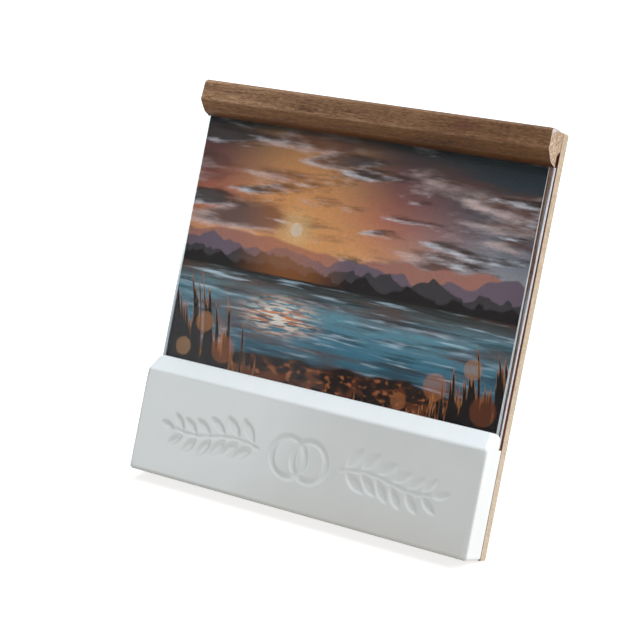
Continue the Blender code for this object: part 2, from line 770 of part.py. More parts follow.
def make_sleeve(parent):
    """Clear sheet folded once along the bottom, with its two top corners rounded."""
    fold_radius = (SLEEVE_BACK - SLEEVE_FRONT - SLEEVE_SHEET) / 2
    fold_centre = (SLEEVE_BACK + SLEEVE_FRONT) / 2
    fold_height = SLEEVE_BOTTOM + fold_radius + SLEEVE_SHEET / 2
    blank_top = SLEEVE_TOP_HEIGHT + CUTTER_MARGIN
    fold = [
        (
            fold_centre + fold_radius * math.cos(math.pi * step / FOLD_STEPS),
            fold_height - fold_radius * math.sin(math.pi * step / FOLD_STEPS),
        )
        for step in range(FOLD_STEPS + 1)
    ]
    line = [
        (fold_centre + fold_radius, blank_top),
        *fold,
        (fold_centre - fold_radius, blank_top),
    ]
    blank_width = SLEEVE_WIDTH + 2 * CUTTER_MARGIN
    sleeve = add_piece(
        "clear_sleeve",
        drawn_mesh("clear_sleeve", [line], blank_width, SIDEWAYS, False),
        new_material("clear_sheet", (0.95, 0.97, 0.98), 0.05, 0.0, 0.2),
        parent,
    )
    shell = sleeve.modifiers.new("sheet_thickness", "SOLIDIFY")
    shell.thickness = SLEEVE_SHEET
    shell.offset = 0.0
    shell.use_even_offset = True
    half = SLEEVE_WIDTH / 2
    low = SLEEVE_BOTTOM - CUTTER_MARGIN
    trim = rounded_outline([
        (-half, low, 0.0),
        (half, low, 0.0),
        (half, SLEEVE_TOP_HEIGHT, SLEEVE_CORNER_RADIUS),
        (-half, SLEEVE_TOP_HEIGHT, SLEEVE_CORNER_RADIUS),
    ])
    depth = SLEEVE_BACK - SLEEVE_FRONT + 2 * CUTTER_MARGIN
    keeper = add_cutter(
        "sleeve_trim",
        drawn_mesh("sleeve_trim", [trim], depth, FACING),
        parent,
        (0.0, fold_centre, 0.0),
    )
    combine(sleeve, keeper, "INTERSECT")


def make_print(parent):
    """The photographic print and the white card behind it, each a little out of square."""
    centre_height = PRINT_BOTTOM_HEIGHT + PRINT_HEIGHT / 2
    add_piece(
        "photo_print",
        box_mesh("photo_print", PRINT_WIDTH, PRINT_THICKNESS, PRINT_HEIGHT),
        new_material("photo_paper", (0.33, 0.2, 0.16), 0.3),
        parent,
        (PRINT_SHIFT - SLEEVE_SHIFT, PRINT_BACK - PRINT_THICKNESS / 2, centre_height),
        (0.0, PRINT_TILT, 0.0),
    )
    add_piece(
        "backing_card",
        box_mesh("backing_card", CARD_WIDTH, CARD_THICKNESS, CARD_HEIGHT),
        new_material("white_card", (0.82, 0.82, 0.80), 0.8),
        parent,
        (CARD_SHIFT - SLEEVE_SHIFT, CARD_BACK - CARD_THICKNESS / 2, centre_height),
        (0.0, CARD_TILT, 0.0),
    )


def leaf_mesh(name, knuckles, holes):
    """Plate of a hinge leaf below its pin axis, with tongues that reach the axis at knuckles.

    knuckles are the (start, end) stretches along X where the leaf rolls round the pin, and
    holes are the (x, drop, radius) of its fixing holes.
    """
    half = HINGE_WIDTH / 2
    shoulder = -(HINGE_BARREL_RADIUS + HINGE_RELIEF)
    top = []
    for start, end in sorted(knuckles, reverse=True):
        top.extend([(end, shoulder), (end, 0.0), (start, 0.0), (start, shoulder)])
    edge = [(half, shoulder), *top, (-half, shoulder)]
    corners = [
        (-half, -HINGE_LEAF_LENGTH, HINGE_LEAF_CORNER),
        (half, -HINGE_LEAF_LENGTH, HINGE_LEAF_CORNER),
    ]
    for point in edge:
        if (point[0], point[1]) != corners[-1][:2] and (*point, 0.0) not in corners:
            corners.append((*point, 0.0))
    outlines = [rounded_outline(corners)]
    outlines.extend(circle_points(radius, (x, -drop)) for x, drop, radius in holes)
    return drawn_mesh(name, outlines, HINGE_LEAF_THICKNESS, FACING)


def make_leaf(name, knuckles, holes, material, parent, turn):
    """Stamped leaf with rolled knuckles round the pin axis, which is its parent's X axis."""
    plate_middle = -HINGE_BARREL_RADIUS + HINGE_LEAF_THICKNESS / 2
    flipped = math.copysign(1.0, math.cos(turn[1]))
    leaf = add_piece(
        name,
        leaf_mesh(name, knuckles, holes),
        material,
        parent,
        (0.0, plate_middle, 0.0),
        turn,
    )
    for number, (start, end) in enumerate(knuckles):
        barrel = add_cutter(
            f"{name}_barrel_{number}",
            cylinder_mesh(f"{name}_barrel_{number}", HINGE_BARREL_RADIUS, end - start),
            parent,
            (flipped * (start + end) / 2, 0.0, 0.0),
        )
        combine(leaf, barrel, "UNION")
    bore = add_cutter(
        f"{name}_bore",
        cylinder_mesh(
            f"{name}_bore", HINGE_PIN_RADIUS + PIN_GAP, HINGE_WIDTH + 2 * CUTTER_MARGIN
        ),
        parent,
    )
    combine(leaf, bore, "DIFFERENCE")
    return leaf


def make_hinge(board_frame, pivot, strut_frame):
    """Two stamped leaves, the pin through their knuckles, and the board's two screws."""
    steel = new_material("zinc_plated_steel", (0.60, 0.60, 0.60), 0.3, 1.0)
    half = HINGE_WIDTH / 2
    inner = HINGE_CENTRE_KNUCKLE / 2
    outer = inner + HINGE_KNUCKLE_GAP
    screw_hole = LEAF_SCREW_RADIUS + SCREW_GAP
    make_leaf(
        "hinge_board_leaf",
        [(-half, -outer), (outer, half)],
        [
            (-LEAF_SCREW_SPACING / 2, LEAF_SCREW_RISE, screw_hole),
            (LEAF_SCREW_SPACING / 2, LEAF_SCREW_RISE, screw_hole),
        ],
        steel,
        pivot,
        (0.0, math.pi, 0.0),
    )
    rivet_hole = RIVET_RADIUS + SCREW_GAP
    make_leaf(
        "hinge_strut_leaf",
        [(-inner, inner)],
        [
            (0.0, RIVET_FIRST_DROP, rivet_hole),
            (0.0, RIVET_FIRST_DROP + RIVET_SPACING, rivet_hole),
        ],
        steel,
        strut_frame,
        (0.0, 0.0, 0.0),
    )
    pin_profile = [
        (0.0, HINGE_PIN_TIP),
        (HINGE_PIN_HEAD_RADIUS, HINGE_PIN_TIP),
        (HINGE_PIN_HEAD_RADIUS, HINGE_PIN_REACH),
        (HINGE_PIN_RADIUS, HINGE_PIN_REACH),
        (HINGE_PIN_RADIUS, -HINGE_PIN_REACH),
        (HINGE_PIN_HEAD_RADIUS, -HINGE_PIN_REACH),
        (HINGE_PIN_HEAD_RADIUS, -HINGE_PIN_TIP),
        (0.0, -HINGE_PIN_TIP),
    ]
    pin = add_piece(
        "hinge_pin", turned_profile("hinge_pin", pin_profile), steel, pivot, turn=AXIS_SIDEWAYS
    )
    turn_on_lathe(pin)
    under_head = BOARD_BACK + BOND_GAP + HINGE_LEAF_THICKNESS + BOND_GAP
    for side, x in (("left", -LEAF_SCREW_SPACING / 2), ("right", LEAF_SCREW_SPACING / 2)):
        screw = add_piece(
            f"hinge_screw_{side}",
            turned_profile(f"hinge_screw_{side}", leaf_screw_profile()),
            steel,
            board_frame,
            (x, under_head, HINGE_HEIGHT + LEAF_SCREW_RISE),
            AXIS_TO_REAR,
        )
        turn_on_lathe(screw)
        cut_recess(screw, LEAF_SCREW_RECESS, LEAF_SCREW_HEAD_HEIGHT, board_frame)
    return steel


def strut_stop_reach():
    """How far the strut's horns pass the pin, so that they meet the board when it is open."""
    to_board = PIVOT_BACK - BOARD_BACK - BOND_GAP
    inner_offset = -STRUT_INNER_FACE * math.cos(STRUT_OPEN_ANGLE)
    return (to_board - inner_offset) / math.sin(STRUT_OPEN_ANGLE)


def pivot_height():
    """Height of the hinge pin above the table, with the frame leaning back."""
    return HINGE_HEIGHT * math.cos(LEAN_ANGLE) - (PIVOT_BACK - BOARD_BACK) * math.sin(LEAN_ANGLE)


def foot_drop(face):
    """Distance down the strut from the pin to the table, on the face at that offset."""
    return (pivot_height() + face * math.sin(STRUT_SLANT)) / math.cos(STRUT_SLANT)


def foot_back():
    """How far behind the board's rear bottom edge the strut's rear foot edge stands."""
    pivot = (PIVOT_BACK - BOARD_BACK) * math.cos(LEAN_ANGLE) + HINGE_HEIGHT * math.sin(LEAN_ANGLE)
    slope = foot_drop(STRUT_OUTER_FACE) * math.sin(STRUT_SLANT)
    return pivot + slope + STRUT_OUTER_FACE * math.cos(STRUT_SLANT)


def make_strut(strut_frame, steel):
    """Flared fibreboard strut: horns beside the hinge stop it, and its foot is cut level."""
    top = strut_stop_reach()
    notch_floor = -(HINGE_BARREL_RADIUS + HINGE_RELIEF)
    middle = (STRUT_INNER_FACE + STRUT_OUTER_FACE) / 2
    foot = foot_drop(middle)
    outline = rounded_outline([
        (-STRUT_FOOT_WIDTH / 2, -foot, 0.0),
        (STRUT_FOOT_WIDTH / 2, -foot, 0.0),
        (STRUT_TOP_HALF, top, STRUT_CORNER_RADIUS),
        (STRUT_NOTCH_HALF, top, STRUT_CORNER_RADIUS),
        (STRUT_NOTCH_HALF, notch_floor, STRUT_CORNER_RADIUS),
        (-STRUT_NOTCH_HALF, notch_floor, STRUT_CORNER_RADIUS),
        (-STRUT_NOTCH_HALF, top, STRUT_CORNER_RADIUS),
        (-STRUT_TOP_HALF, top, STRUT_CORNER_RADIUS),
    ])
    mesh = drawn_mesh("easel_strut", [outline], STRUT_THICKNESS, FACING)
    for vert in mesh.vertices:
        if vert.co.z < -foot + WELD_DISTANCE:
            vert.co.z -= vert.co.y * math.tan(STRUT_SLANT)
    strut = add_piece(
        "easel_strut",
        mesh,
        new_material("strut_fibreboard", (0.40, 0.29, 0.19), 0.85),
        strut_frame,
        (0.0, middle, 0.0),
    )
    rivet_end = -HINGE_BARREL_RADIUS
    head_seat = STRUT_OUTER_FACE + BOND_GAP
    shank = head_seat - rivet_end
    rivet_profile = [
        *crown_profile(RIVET_HEAD_CROWN, RIVET_HEAD_RADIUS, RIVET_HEAD_HEIGHT),
        (RIVET_RADIUS, 0.0),
        (RIVET_RADIUS, -shank),
        (0.0, -shank),
    ]
    hole_radius = RIVET_RADIUS + SCREW_GAP
    hole_profile = [
        (0.0, CUTTER_MARGIN),
        (hole_radius, CUTTER_MARGIN),
        (hole_radius, -STRUT_THICKNESS - CUTTER_MARGIN),
        (0.0, -STRUT_THICKNESS - CUTTER_MARGIN),
    ]
    for place, drop in (
        ("upper", RIVET_FIRST_DROP),
        ("lower", RIVET_FIRST_DROP + RIVET_SPACING),
    ):
        hole = add_cutter(
            f"rivet_hole_{place}",
            turned_profile(f"rivet_hole_{place}", hole_profile),
            strut_frame,
            (0.0, STRUT_OUTER_FACE, -drop),
            AXIS_TO_REAR,
        )
        combine(strut, turn_on_lathe(hole), "DIFFERENCE")
        rivet = add_piece(
            f"strut_rivet_{place}",
            turned_profile(f"strut_rivet_{place}", rivet_profile),
            steel,
            strut_frame,
            (0.0, head_seat, -drop),
            AXIS_TO_REAR,
        )
        turn_on_lathe(rivet)


def stance_centre():
    """Middle of the object's depth, measured from the board's rear bottom edge."""
    front = -(CERAMIC_DEPTH + BOARD_BACK) * math.cos(LEAN_ANGLE)
    board_top = BOARD_HEIGHT * math.sin(LEAN_ANGLE)
    return (front + max(board_top, foot_back())) / 2


def build():
    """Make every piece in the leaning frame, with its lowest edge on the table."""
    table_edge = new_empty("table_edge", location=(0.0, -stance_centre(), 0.0), tilt=-LEAN_ANGLE)
    board_frame = new_empty("board_frame", table_edge, (0.0, -BOARD_BACK, 0.0))
    pivot = new_empty("hinge_axis", board_frame, (0.0, PIVOT_BACK, HINGE_HEIGHT))
    strut_frame = new_empty("strut_axis", pivot, tilt=STRUT_OPEN_ANGLE)
    sleeve_frame = new_empty("sleeve_slide", board_frame, (SLEEVE_SHIFT, 0.0, 0.0))
    board_pieces = make_board(board_frame)
    make_ceramic(board_frame)
    make_rail(board_frame, board_pieces)
    make_sleeve(sleeve_frame)
    make_print(sleeve_frame)
    steel = make_hinge(board_frame, pivot, strut_frame)
    make_strut(strut_frame, steel)
    bpy.context.view_layer.update()
    foot_middle = (STRUT_INNER_FACE + STRUT_OUTER_FACE) / 2
    foot = strut_frame.matrix_world @ Vector((0.0, foot_middle, -foot_drop(foot_middle)))
    print("hinge axis at", [round(value, 6) for value in pivot.matrix_world.translation])
    print("strut foot at", [round(value, 6) for value in foot])


clear_scene()
PARTS = new_collection("photo_display")
CUTTERS = new_collection("cutters")
build()
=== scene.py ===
# %% [markdown]
# # A tabletop photo display
#
# The display holds one landscape print in a clear folded sleeve. A walnut-look rail grips the
# sleeve along the top, a glazed ceramic block carries it along the bottom, and a thin
# fibreboard back joins the two. The board leans back on a hinged strut.
#
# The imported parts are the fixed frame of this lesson. They are never moved or reshaped. Each
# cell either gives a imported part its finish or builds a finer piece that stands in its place.

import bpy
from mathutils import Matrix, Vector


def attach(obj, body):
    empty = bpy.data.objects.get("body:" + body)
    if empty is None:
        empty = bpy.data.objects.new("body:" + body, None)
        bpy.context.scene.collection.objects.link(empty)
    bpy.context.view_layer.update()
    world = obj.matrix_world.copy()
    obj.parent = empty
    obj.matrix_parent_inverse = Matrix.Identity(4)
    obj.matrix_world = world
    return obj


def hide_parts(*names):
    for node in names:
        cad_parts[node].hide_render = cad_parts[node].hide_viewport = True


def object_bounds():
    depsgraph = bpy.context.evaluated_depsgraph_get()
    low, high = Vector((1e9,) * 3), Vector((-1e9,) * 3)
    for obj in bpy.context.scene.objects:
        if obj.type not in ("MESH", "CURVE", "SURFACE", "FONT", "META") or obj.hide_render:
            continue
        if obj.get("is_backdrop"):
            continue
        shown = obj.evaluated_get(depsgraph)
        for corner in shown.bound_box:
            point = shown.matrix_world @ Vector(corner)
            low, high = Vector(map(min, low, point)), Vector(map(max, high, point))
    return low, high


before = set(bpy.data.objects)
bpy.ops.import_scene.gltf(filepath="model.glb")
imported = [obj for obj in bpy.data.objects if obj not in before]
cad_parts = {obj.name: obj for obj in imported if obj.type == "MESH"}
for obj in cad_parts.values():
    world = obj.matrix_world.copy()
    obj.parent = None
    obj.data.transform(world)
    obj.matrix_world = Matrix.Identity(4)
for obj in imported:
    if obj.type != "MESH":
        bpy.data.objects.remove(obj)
cad_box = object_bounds()

# %% [markdown]
# ## The leaning frame
#
# On the real display everything but the strut is square to the board, and the board leans back
# 19.5 degrees. Drawing each piece straight in its leaning place would need a sine and a cosine
# at every point. It is easier to draw in the board's own frame, in millimetres, and to lean
# the finished mesh back with one matrix: X runs across, Y from the board's face to the rear
# and Z up the board from its bottom edge.

# %% Board frame and back
import math

import bmesh
import bpy
import numpy as np
from mathutils import Matrix, Vector

MM = 0.001
LEAN = math.radians(19.5)
BOARD_BACK, HALF_WIDTH = 4.3, 77.5
STANCE = 20.490036

LEAN_BACK = (
    Matrix.Translation((0.0, -STANCE * MM, 0.0))
    @ Matrix.Rotation(-LEAN, 4, "X")
    @ Matrix.Scale(MM, 4)
    @ Matrix.Translation((0.0, -BOARD_BACK, 0.0))
)
STAND_UP = LEAN_BACK.inverted()


def box_on_board(node):
    """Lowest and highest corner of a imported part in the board's frame, in millimetres."""
    points = [STAND_UP @ vertex.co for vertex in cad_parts[node].data.vertices]
    return np.min(points, axis=0), np.max(points, axis=0)


for node in ("back_board", "ceramic_base", "top_rail_core", "clear_sleeve", "photo_print"):
    low, high = box_on_board(node)
    print(node, "from", np.round(low, 2), "to", np.round(high, 2), "mm")

# %% [markdown]
# ## Colours and nodes
#
# A maker picks colours on a screen, as sRGB hex values. Blender's shaders want linear light, so one
# function turns the one into the other.
#
# One more function adds a node and fills its sockets with numbers, colours or other nodes,
# given by name or as a row in the order that the node shows. A Map Range row, for one, reads
# value, from, to, and what these two become. A Mix node mixes colours unless it is told
# otherwise. A mode follows a node's kind after a colon, as in "Math:MULTIPLY".

# %% Colour and node helpers


def paint(hex_colour):
    """Linear RGBA of an sRGB colour such as "#7B5B45"."""
    shades = [int(hex_colour[i : i + 2], 16) / 255 for i in (1, 3, 5)]
    linear = [s / 12.92 if s <= 0.04045 else ((s + 0.055) / 1.055) ** 2.4 for s in shades]
    return (*linear, 1.0)


def fill_sockets(tree, node, sockets):
    """Set or link input sockets, given by name or as a row in the order that the node shows."""
    used = [socket for socket in node.inputs if socket.enabled]
    for key, value in sockets.items() if isinstance(sockets, dict) else enumerate(sockets):
        socket = used[key] if isinstance(key, int) else next(s for s in used if s.name == key)
        if isinstance(value, str):
            value = paint(value)
        if isinstance(value, bpy.types.Node):
            value = next(output for output in value.outputs if output.enabled)
        if isinstance(value, bpy.types.NodeSocket):
            tree.links.new(value, socket)
        else:
            socket.default_value = value


MODES = {
    "Math": "operation", "VectorMath": "operation", "MapRange": "interpolation_type",
    "Mix": "blend_type", "Mapping": "vector_type",
}


def add_node(tree, kind, sockets=(), stops=(), **settings):
    """Add one node with its mode, its settings, its ramp's stops, and what its sockets hold."""
    kind, _, mode = kind.partition(":")
    node = tree.nodes.new(f"ShaderNode{kind}")
    if mode:
        setattr(node, MODES[kind], mode)
    if kind == "Mix":
        node.data_type = "RGBA"
    for setting, value in settings.items():
        setattr(node, setting, value)
    fill_sockets(tree, node, sockets)
    if stops:
        elements = node.color_ramp.elements
        for place, colour in stops[1:-1]:
            elements.new(place).color = paint(colour)
        for element, (place, colour) in ((elements[0], stops[0]), (elements[-1], stops[-1])):
            element.position, element.color = place, paint(colour)
    return node


def two_tones(tree, place, scale, detail, dark, light):
    """A colour that wanders between two tones in patches, so many to the unit of place."""
    patches = add_node(tree, "TexNoise", (place, scale, detail))
    return add_node(tree, "Mix", (patches, dark, light))


def tinted(tree, colour, place, tints):
    """A colour multiplied by tints (axis, start, end, tint), each growing from start to end."""
    for axis, start, end, tint in tints:
        share = add_node(tree, "MapRange", (place.outputs[axis], start, end))
        colour = add_node(tree, "Mix:MULTIPLY", (share, colour, tint))
    return colour


def any_ray(tree, *kinds):
    """1 for light rays that are of any of these kinds, 0 for others."""
    rays = add_node(tree, "LightPath")
    found = 0.0
    for kind in kinds:
        found = add_node(tree, "Math:MAXIMUM", (found, rays.outputs[f"Is {kind} Ray"]))
    return found


def new_finish(name):
    """A material with its node tree and its Principled shader."""
    finish = bpy.data.materials.new(name)
    finish.use_nodes = True
    return finish, finish.node_tree, finish.node_tree.nodes["Principled BSDF"]


print("walnut brown in linear light:", [round(value, 3) for value in paint("#7B5B45")[:3]])

# %% [markdown]
# ## Millimetres inside a material
#
# Wood grain runs along the rail and the picture fills the print, so both patterns need the
# board's frame. Object coordinates give a point in the shared frame, in metres. One Mapping node
# scales them to millimetres and stands them up, and from then on a scale of 2 in a noise
# texture means two blotches to the millimetre. Every pattern below starts here.

# %% Board coordinates for materials


def board_millimetres(tree, factors=None):
    """Board coordinates in millimetres, times a factor for each axis where they are given."""
    place = add_node(tree, "TexCoord").outputs["Object"]
    shift = (0.0, STANCE * math.cos(LEAN) + BOARD_BACK, STANCE * math.sin(LEAN))
    upright = add_node(
        tree, "Mapping",
        {"Vector": place, "Location": shift, "Rotation": (LEAN, 0.0, 0.0), "Scale": (1000.0,) * 3},
    )
    return add_node(tree, "Mapping", {"Vector": upright, "Scale": factors}) if factors else upright


def board_axes(tree):
    """The node whose outputs X, Y and Z are the board's coordinates in millimetres."""
    return add_node(tree, "SeparateXYZ", (board_millimetres(tree),))


print("one millimetre on the board is one unit in every pattern")

# %% [markdown]
# ## White glaze
#
# The base is slip-cast stoneware under a glossy tin-white glaze. The glaze is melted glass, so
# it has an IOR near 1.5 and low roughness. It never lies quite flat: it pools in waves some
# 12 mm long, which show only in the reflections, so they go into the bump. A faint mottle keeps
# the body colour alive.
#
# The glaze stops a third of a millimetre above the kiln shelf. The bare clay shows there as a thin
# brownish line. Just above it, on the right half of the front, the glaze is painted a little darker
# and warmer: painted shade.

# %% White glaze
FOOT_LINE, WAVES = 0.35, 0.08
white_glaze, tree, shader = new_finish("tin_white_glazed_stoneware")
place = board_millimetres(tree)
body = two_tones(tree, place, 0.07, 2.0, "#E2E3E0", "#EAEAE6")
on_block = add_node(tree, "SeparateXYZ", (place,))
height = on_block.outputs["Z"]
bare = add_node(tree, "MapRange:SMOOTHSTEP", (height, FOOT_LINE, FOOT_LINE - 0.3))
# Painted shade: the lower right of the front is darkened and warmed a little.
low_down = add_node(tree, "MapRange", (height, 14.0, 1.0))
along = add_node(tree, "MapRange", (on_block.outputs["X"], -HALF_WIDTH, HALF_WIDTH))
right_half = add_node(
    tree, "ValToRGB", {"Fac": along},
    stops=[(0.3, "#000000"), (0.75, "#FFFFFF"), (0.98, "#FFFFFF"), (0.99, "#000000")],
)
painted_shade_low_right = add_node(tree, "Math:MULTIPLY", (low_down, right_half))
body = add_node(tree, "Mix:MULTIPLY", (painted_shade_low_right, body, "#FAF7F4"))
clay = add_node(tree, "Mix", (bare, body, "#A89C8C"))
shine = add_node(tree, "MapRange", (bare, 0.0, 1.0, 0.16, 0.85))
pooling = add_node(tree, "TexNoise", (place, WAVES, 1.0))
waves = add_node(tree, "Bump", {"Height": pooling, "Strength": 0.15, "Distance": 0.0005})
fill_sockets(tree, shader, {"Base Color": clay, "Roughness": shine, "IOR": 1.5, "Normal": waves})
print("glaze waves are", round(1 / WAVES), "mm long, bare clay is", FOOT_LINE, "mm high")

# %% [markdown]
# ## Walnut foil
#
# The rail isn't solid walnut. It is fibreboard wrapped in a satin printed foil that copies
# walnut: short dark pores, fine fibres, broader figure bands, and lighter streaks between
# them. The foil is matt varnish over paper, so it is a dielectric with a high roughness.
#
# A wave texture's stripes would repeat. Noise that is stretched along the rail has the grain's
# uneven ends, so four noises are laid over each other. Real pores are 0.1 to 0.3 mm wide and
# the picture has a pixel for every 0.45 mm, so the finest noise is drawn 0.3 mm wide. The whole
# figure wanders sideways by a millimetre or two, as trees do.
#
# The rail's foil is painted darker towards the right end, on the bevel below the nose, along its
# top edge and at the foot of its bevel: painted shade. One small reddish stain lies on top. The
# board's own foil is plainer. It is painted dark where the rail covers it, as shade in the rebate,
# and darker along its right edge, as shade beside the sleeve. It is darker low down, and its cut
# rim is dark brown, painted darker still below 149 mm as shade.

# %% Walnut foil
GRAIN = {"figure": (60.0, 4.5), "streaks": (11.0, 0.6), "fibres": (2.4, 0.3), "pores": (1.8, 0.3)}


def walnut(name, tones, contrast, roughness):
    """A printed walnut foil of three tones whose grain runs along the board's X axis."""
    finish, tree, shader = new_finish(name)
    drift = add_node(tree, "TexNoise", (board_millimetres(tree, (0.016, 0.06, 0.06)), 1.0))
    grown = add_node(
        tree, "VectorMath:MULTIPLY_ADD",
        (drift.outputs["Color"], (0.0, 5.0, 5.0), board_millimetres(tree)),
    )
    noises = {}
    for layer, (long, wide) in GRAIN.items():
        drawn = add_node(
            tree, "Mapping",
            {"Vector": grown, "Scale": (1 / long, 1 / wide, 1 / wide), "Location": (long, wide, 0)},
        )
        noises[layer] = add_node(tree, "TexNoise", (drawn, 1.0, 2.0, 0.6))
    broad = add_node(tree, "Mix", (0.45, noises["figure"], noises["streaks"]), data_type="FLOAT")
    fine = add_node(tree, "Mix", (0.42, broad, noises["fibres"]), data_type="FLOAT")
    tone = add_node(
        tree, "ValToRGB", {"Fac": fine},
        stops=[(0.5 - contrast, tones[0]), (0.5, tones[1]), (0.5 + contrast, tones[2])],
    )
    pore_mask = add_node(tree, "MapRange", (noises["pores"], 0.56, 0.68, 0.0, 0.62))
    wood = add_node(tree, "Mix", (pore_mask, tone, tones[0]))
    dents = add_node(
        tree, "Bump", {"Height": noises["pores"], "Strength": 0.3, "Distance": 0.00012},
        invert=True,
    )
    fill_sockets(
        tree, shader, {"Base Color": wood, "Roughness": roughness, "IOR": 1.3, "Normal": dents}
    )
    return finish, tree, shader, wood


rail_walnut, tree, shader, wood = walnut(
    "satin_walnut_foil", ("#634430", "#B38968", "#DDB68E"), 0.15, 0.5
)
on_rail = board_axes(tree)
wander = add_node(tree, "TexNoise", (board_millimetres(tree, (0.03, 0.0, 0.0)), 1.0))
swaying = add_node(tree, "Math:MULTIPLY_ADD", (wander, 2.0, on_rail.outputs["Z"]))
share = add_node(tree, "MapRange", (swaying, 150.0, 158.0))
bands = add_node(
    tree, "ValToRGB", {"Fac": share},
    stops=[(0.24, "#FFFFFF"), (0.42, "#ECECEA"), (0.68, "#ECECEA"), (0.85, "#FAFAFA")],
)
banded_and_shaded_wood = add_node(tree, "Mix:MULTIPLY", (1.0, wood, bands))
along = add_node(tree, "MapRange", (on_rail.outputs["X"], -75.0, 75.0))
bevel_shade = add_node(tree, "Mix", (along, "#BDA98F", "#D3C096"))
# Painted shade: darker towards the right end, on the bevel below the nose (most at the left), along
# the top edge and at the foot of the bevel.
rail_painted_shade = [
    ("X", -75.0, 30.0, "#C6BCB3"), ("X", 30.0, 75.0, "#FBFAF8"), ("Z", 149.1, 148.4, bevel_shade),
    ("Z", 156.2, 156.7, "#B4A494"), ("Z", 145.2, 143.9, "#B8A690"),
]
banded_and_shaded_wood = tinted(tree, banded_and_shaded_wood, on_rail, rail_painted_shade)


def ragged_spot(tree, middle, size, most):
    """1 inside a spot with a ragged rim, at a place on the board and of a size, 0 outside."""
    stretched = add_node(
        tree, "Mapping:TEXTURE",
        {"Vector": board_millimetres(tree), "Location": middle, "Scale": size},
    )
    ragged = add_node(tree, "TexNoise", (board_millimetres(tree), 0.35, 3.0))
    away = add_node(tree, "VectorMath:LENGTH", (stretched,)).outputs["Value"]
    away = add_node(tree, "Math:MULTIPLY_ADD", (ragged, 1.6, away))
    return add_node(tree, "MapRange", (away, 1.9, 1.5, 0.0, most))


stain_mask = ragged_spot(tree, (41.0, -9.1, 153.0), (5.5, 9.0, 1.9), 0.55)
stained = add_node(tree, "Mix", (stain_mask, banded_and_shaded_wood, "#6E4136"))
fill_sockets(tree, shader, {"Base Color": stained})

board_walnut, tree, shader, wood = walnut(
    "plain_walnut_foil", ("#87604A", "#A67860", "#B98D73"), 0.12, 0.5
)
on_board = board_axes(tree)
# Painted shade: dark above 142.6 mm in the rail's rebate, and darker at the right edge beside the
# sleeve. Below 140 mm the foil also grows darker downwards.
board_tints = [
    ("Z", 142.6, 144.4, "#8A6E5C"), ("Z", 140.0, 70.0, "#D6C2B6"), ("X", 76.9, 77.2, "#B08C7C")
]
wood = tinted(tree, wood, on_board, board_tints)
fill_sockets(tree, shader, {"Base Color": wood})

dark_rim_and_shade, tree, shader, wood = walnut(
    "dark_foil_rim_with_painted_shade", ("#4A2E22", "#5C3C2E", "#745242"), 0.12, 0.6
)
# The rim's own dark brown is painted darker still below 149 mm: painted shade in the gap beside the
# sleeve.
height = board_axes(tree).outputs["Z"]
above_the_shade = add_node(tree, "MapRange", (height, 148.6, 149.6))
rim = add_node(tree, "Mix", (above_the_shade, wood, "#94745F"))
fill_sockets(tree, shader, {"Base Color": rim})

foil_paper, tree, shader = new_finish("cut_paper_edge_of_foil")
paper = two_tones(tree, board_millimetres(tree), 1.5, 3.0, "#A69280", "#DED6CC")
fill_sockets(tree, shader, {"Base Color": paper, "Roughness": 0.8})
for layer, (long, wide) in GRAIN.items():
    print(layer, long, "mm long and", wide, "mm wide")

# %% [markdown]
# ## Raw fibreboard
#
# Medium-density fibreboard is ground wood pressed with resin. A sawn edge is pale and fuzzy, with
# fibre bundles about half a millimetre across, darker specks of bark and paler flecks where the saw
# pulled fibres out. Low down it is painted a little paler: painted light. The board's face is a
# smoother, darker tan that the press has closed. Both are rough all over. The rail's core is a
# coarser, redder grade than the board, and a scrap of the foil's white paper sticks to the top of
# its raw end.

# %% Raw fibreboard
BUNDLES = 1.7


def fibreboard(name, dark, light, speck, fleck, fuzz):
    """Raw fibreboard of two tones, with dark specks, pale flecks and a fuzz of standing fibres."""
    finish, tree, shader = new_finish(name)
    place = board_millimetres(tree)
    bundles = add_node(tree, "TexNoise", (place, BUNDLES, 4.0, 0.7))
    clouds = add_node(tree, "TexNoise", (place, 0.2, 2.0))
    blend = add_node(tree, "Mix", (0.35, bundles, clouds), data_type="FLOAT")
    height = add_node(tree, "SeparateXYZ", (place,)).outputs["Z"]
    # Painted light: the fibreboard is painted a little paler below 140 mm.
    painted_light_low_down = add_node(tree, "MapRange", (height, 140.0, 20.0, 0.0, 0.15))
    blend = add_node(tree, "Math:ADD", (blend, painted_light_low_down))
    spread = add_node(tree, "MapRange", (blend, 0.40, 0.60))
    colour = add_node(tree, "Mix", (spread, dark, light))
    for spot_colour, seed, size in ((speck, 11.0, 1.5), (fleck, 37.0, 1.2)):
        shifted = add_node(tree, "Mapping", {"Vector": place, "Location": (seed,) * 3})
        look = {"Vector": shifted, "Scale": size, "Detail": 2.0, "Distortion": 1.2}
        spots = add_node(tree, "TexNoise", look)
        mask = add_node(tree, "MapRange", (spots, 0.59, 0.66, 0.0, 0.85))
        colour = add_node(tree, "Mix", (mask, colour, spot_colour))
    nap = add_node(tree, "Bump", {"Height": bundles, "Strength": fuzz, "Distance": 0.0002})
    fill_sockets(tree, shader, {"Base Color": colour, "Roughness": 0.9, "IOR": 1.4, "Normal": nap})
    return finish


sawn_edge = fibreboard("sawn_fibreboard_edge", "#AF987C", "#C9B69D", "#987E64", "#DACEBE", 0.5)
rail_end = fibreboard("sawn_rail_core", "#9D8166", "#BFA386", "#84654C", "#E2D5C6", 0.7)
tree = rail_end.node_tree
shader = tree.nodes["Principled BSDF"]
scrap = ragged_spot(tree, (HALF_WIDTH, -7.7, 156.5), (2.0, 2.2, 1.3), 0.6)
raw_colour = shader.inputs["Base Color"].links[0].from_socket
with_scrap = add_node(tree, "Mix", (scrap, raw_colour, "#D8DCE2"))
fill_sockets(tree, shader, {"Base Color": with_scrap})
pressed_face = fibreboard(
    "pressed_fibreboard_face", "#96775A", "#AC8C6C", "#7A5E46", "#BFA384", 0.2
)
print("fibre bundles are about", round(1 / BUNDLES, 1), "mm across")
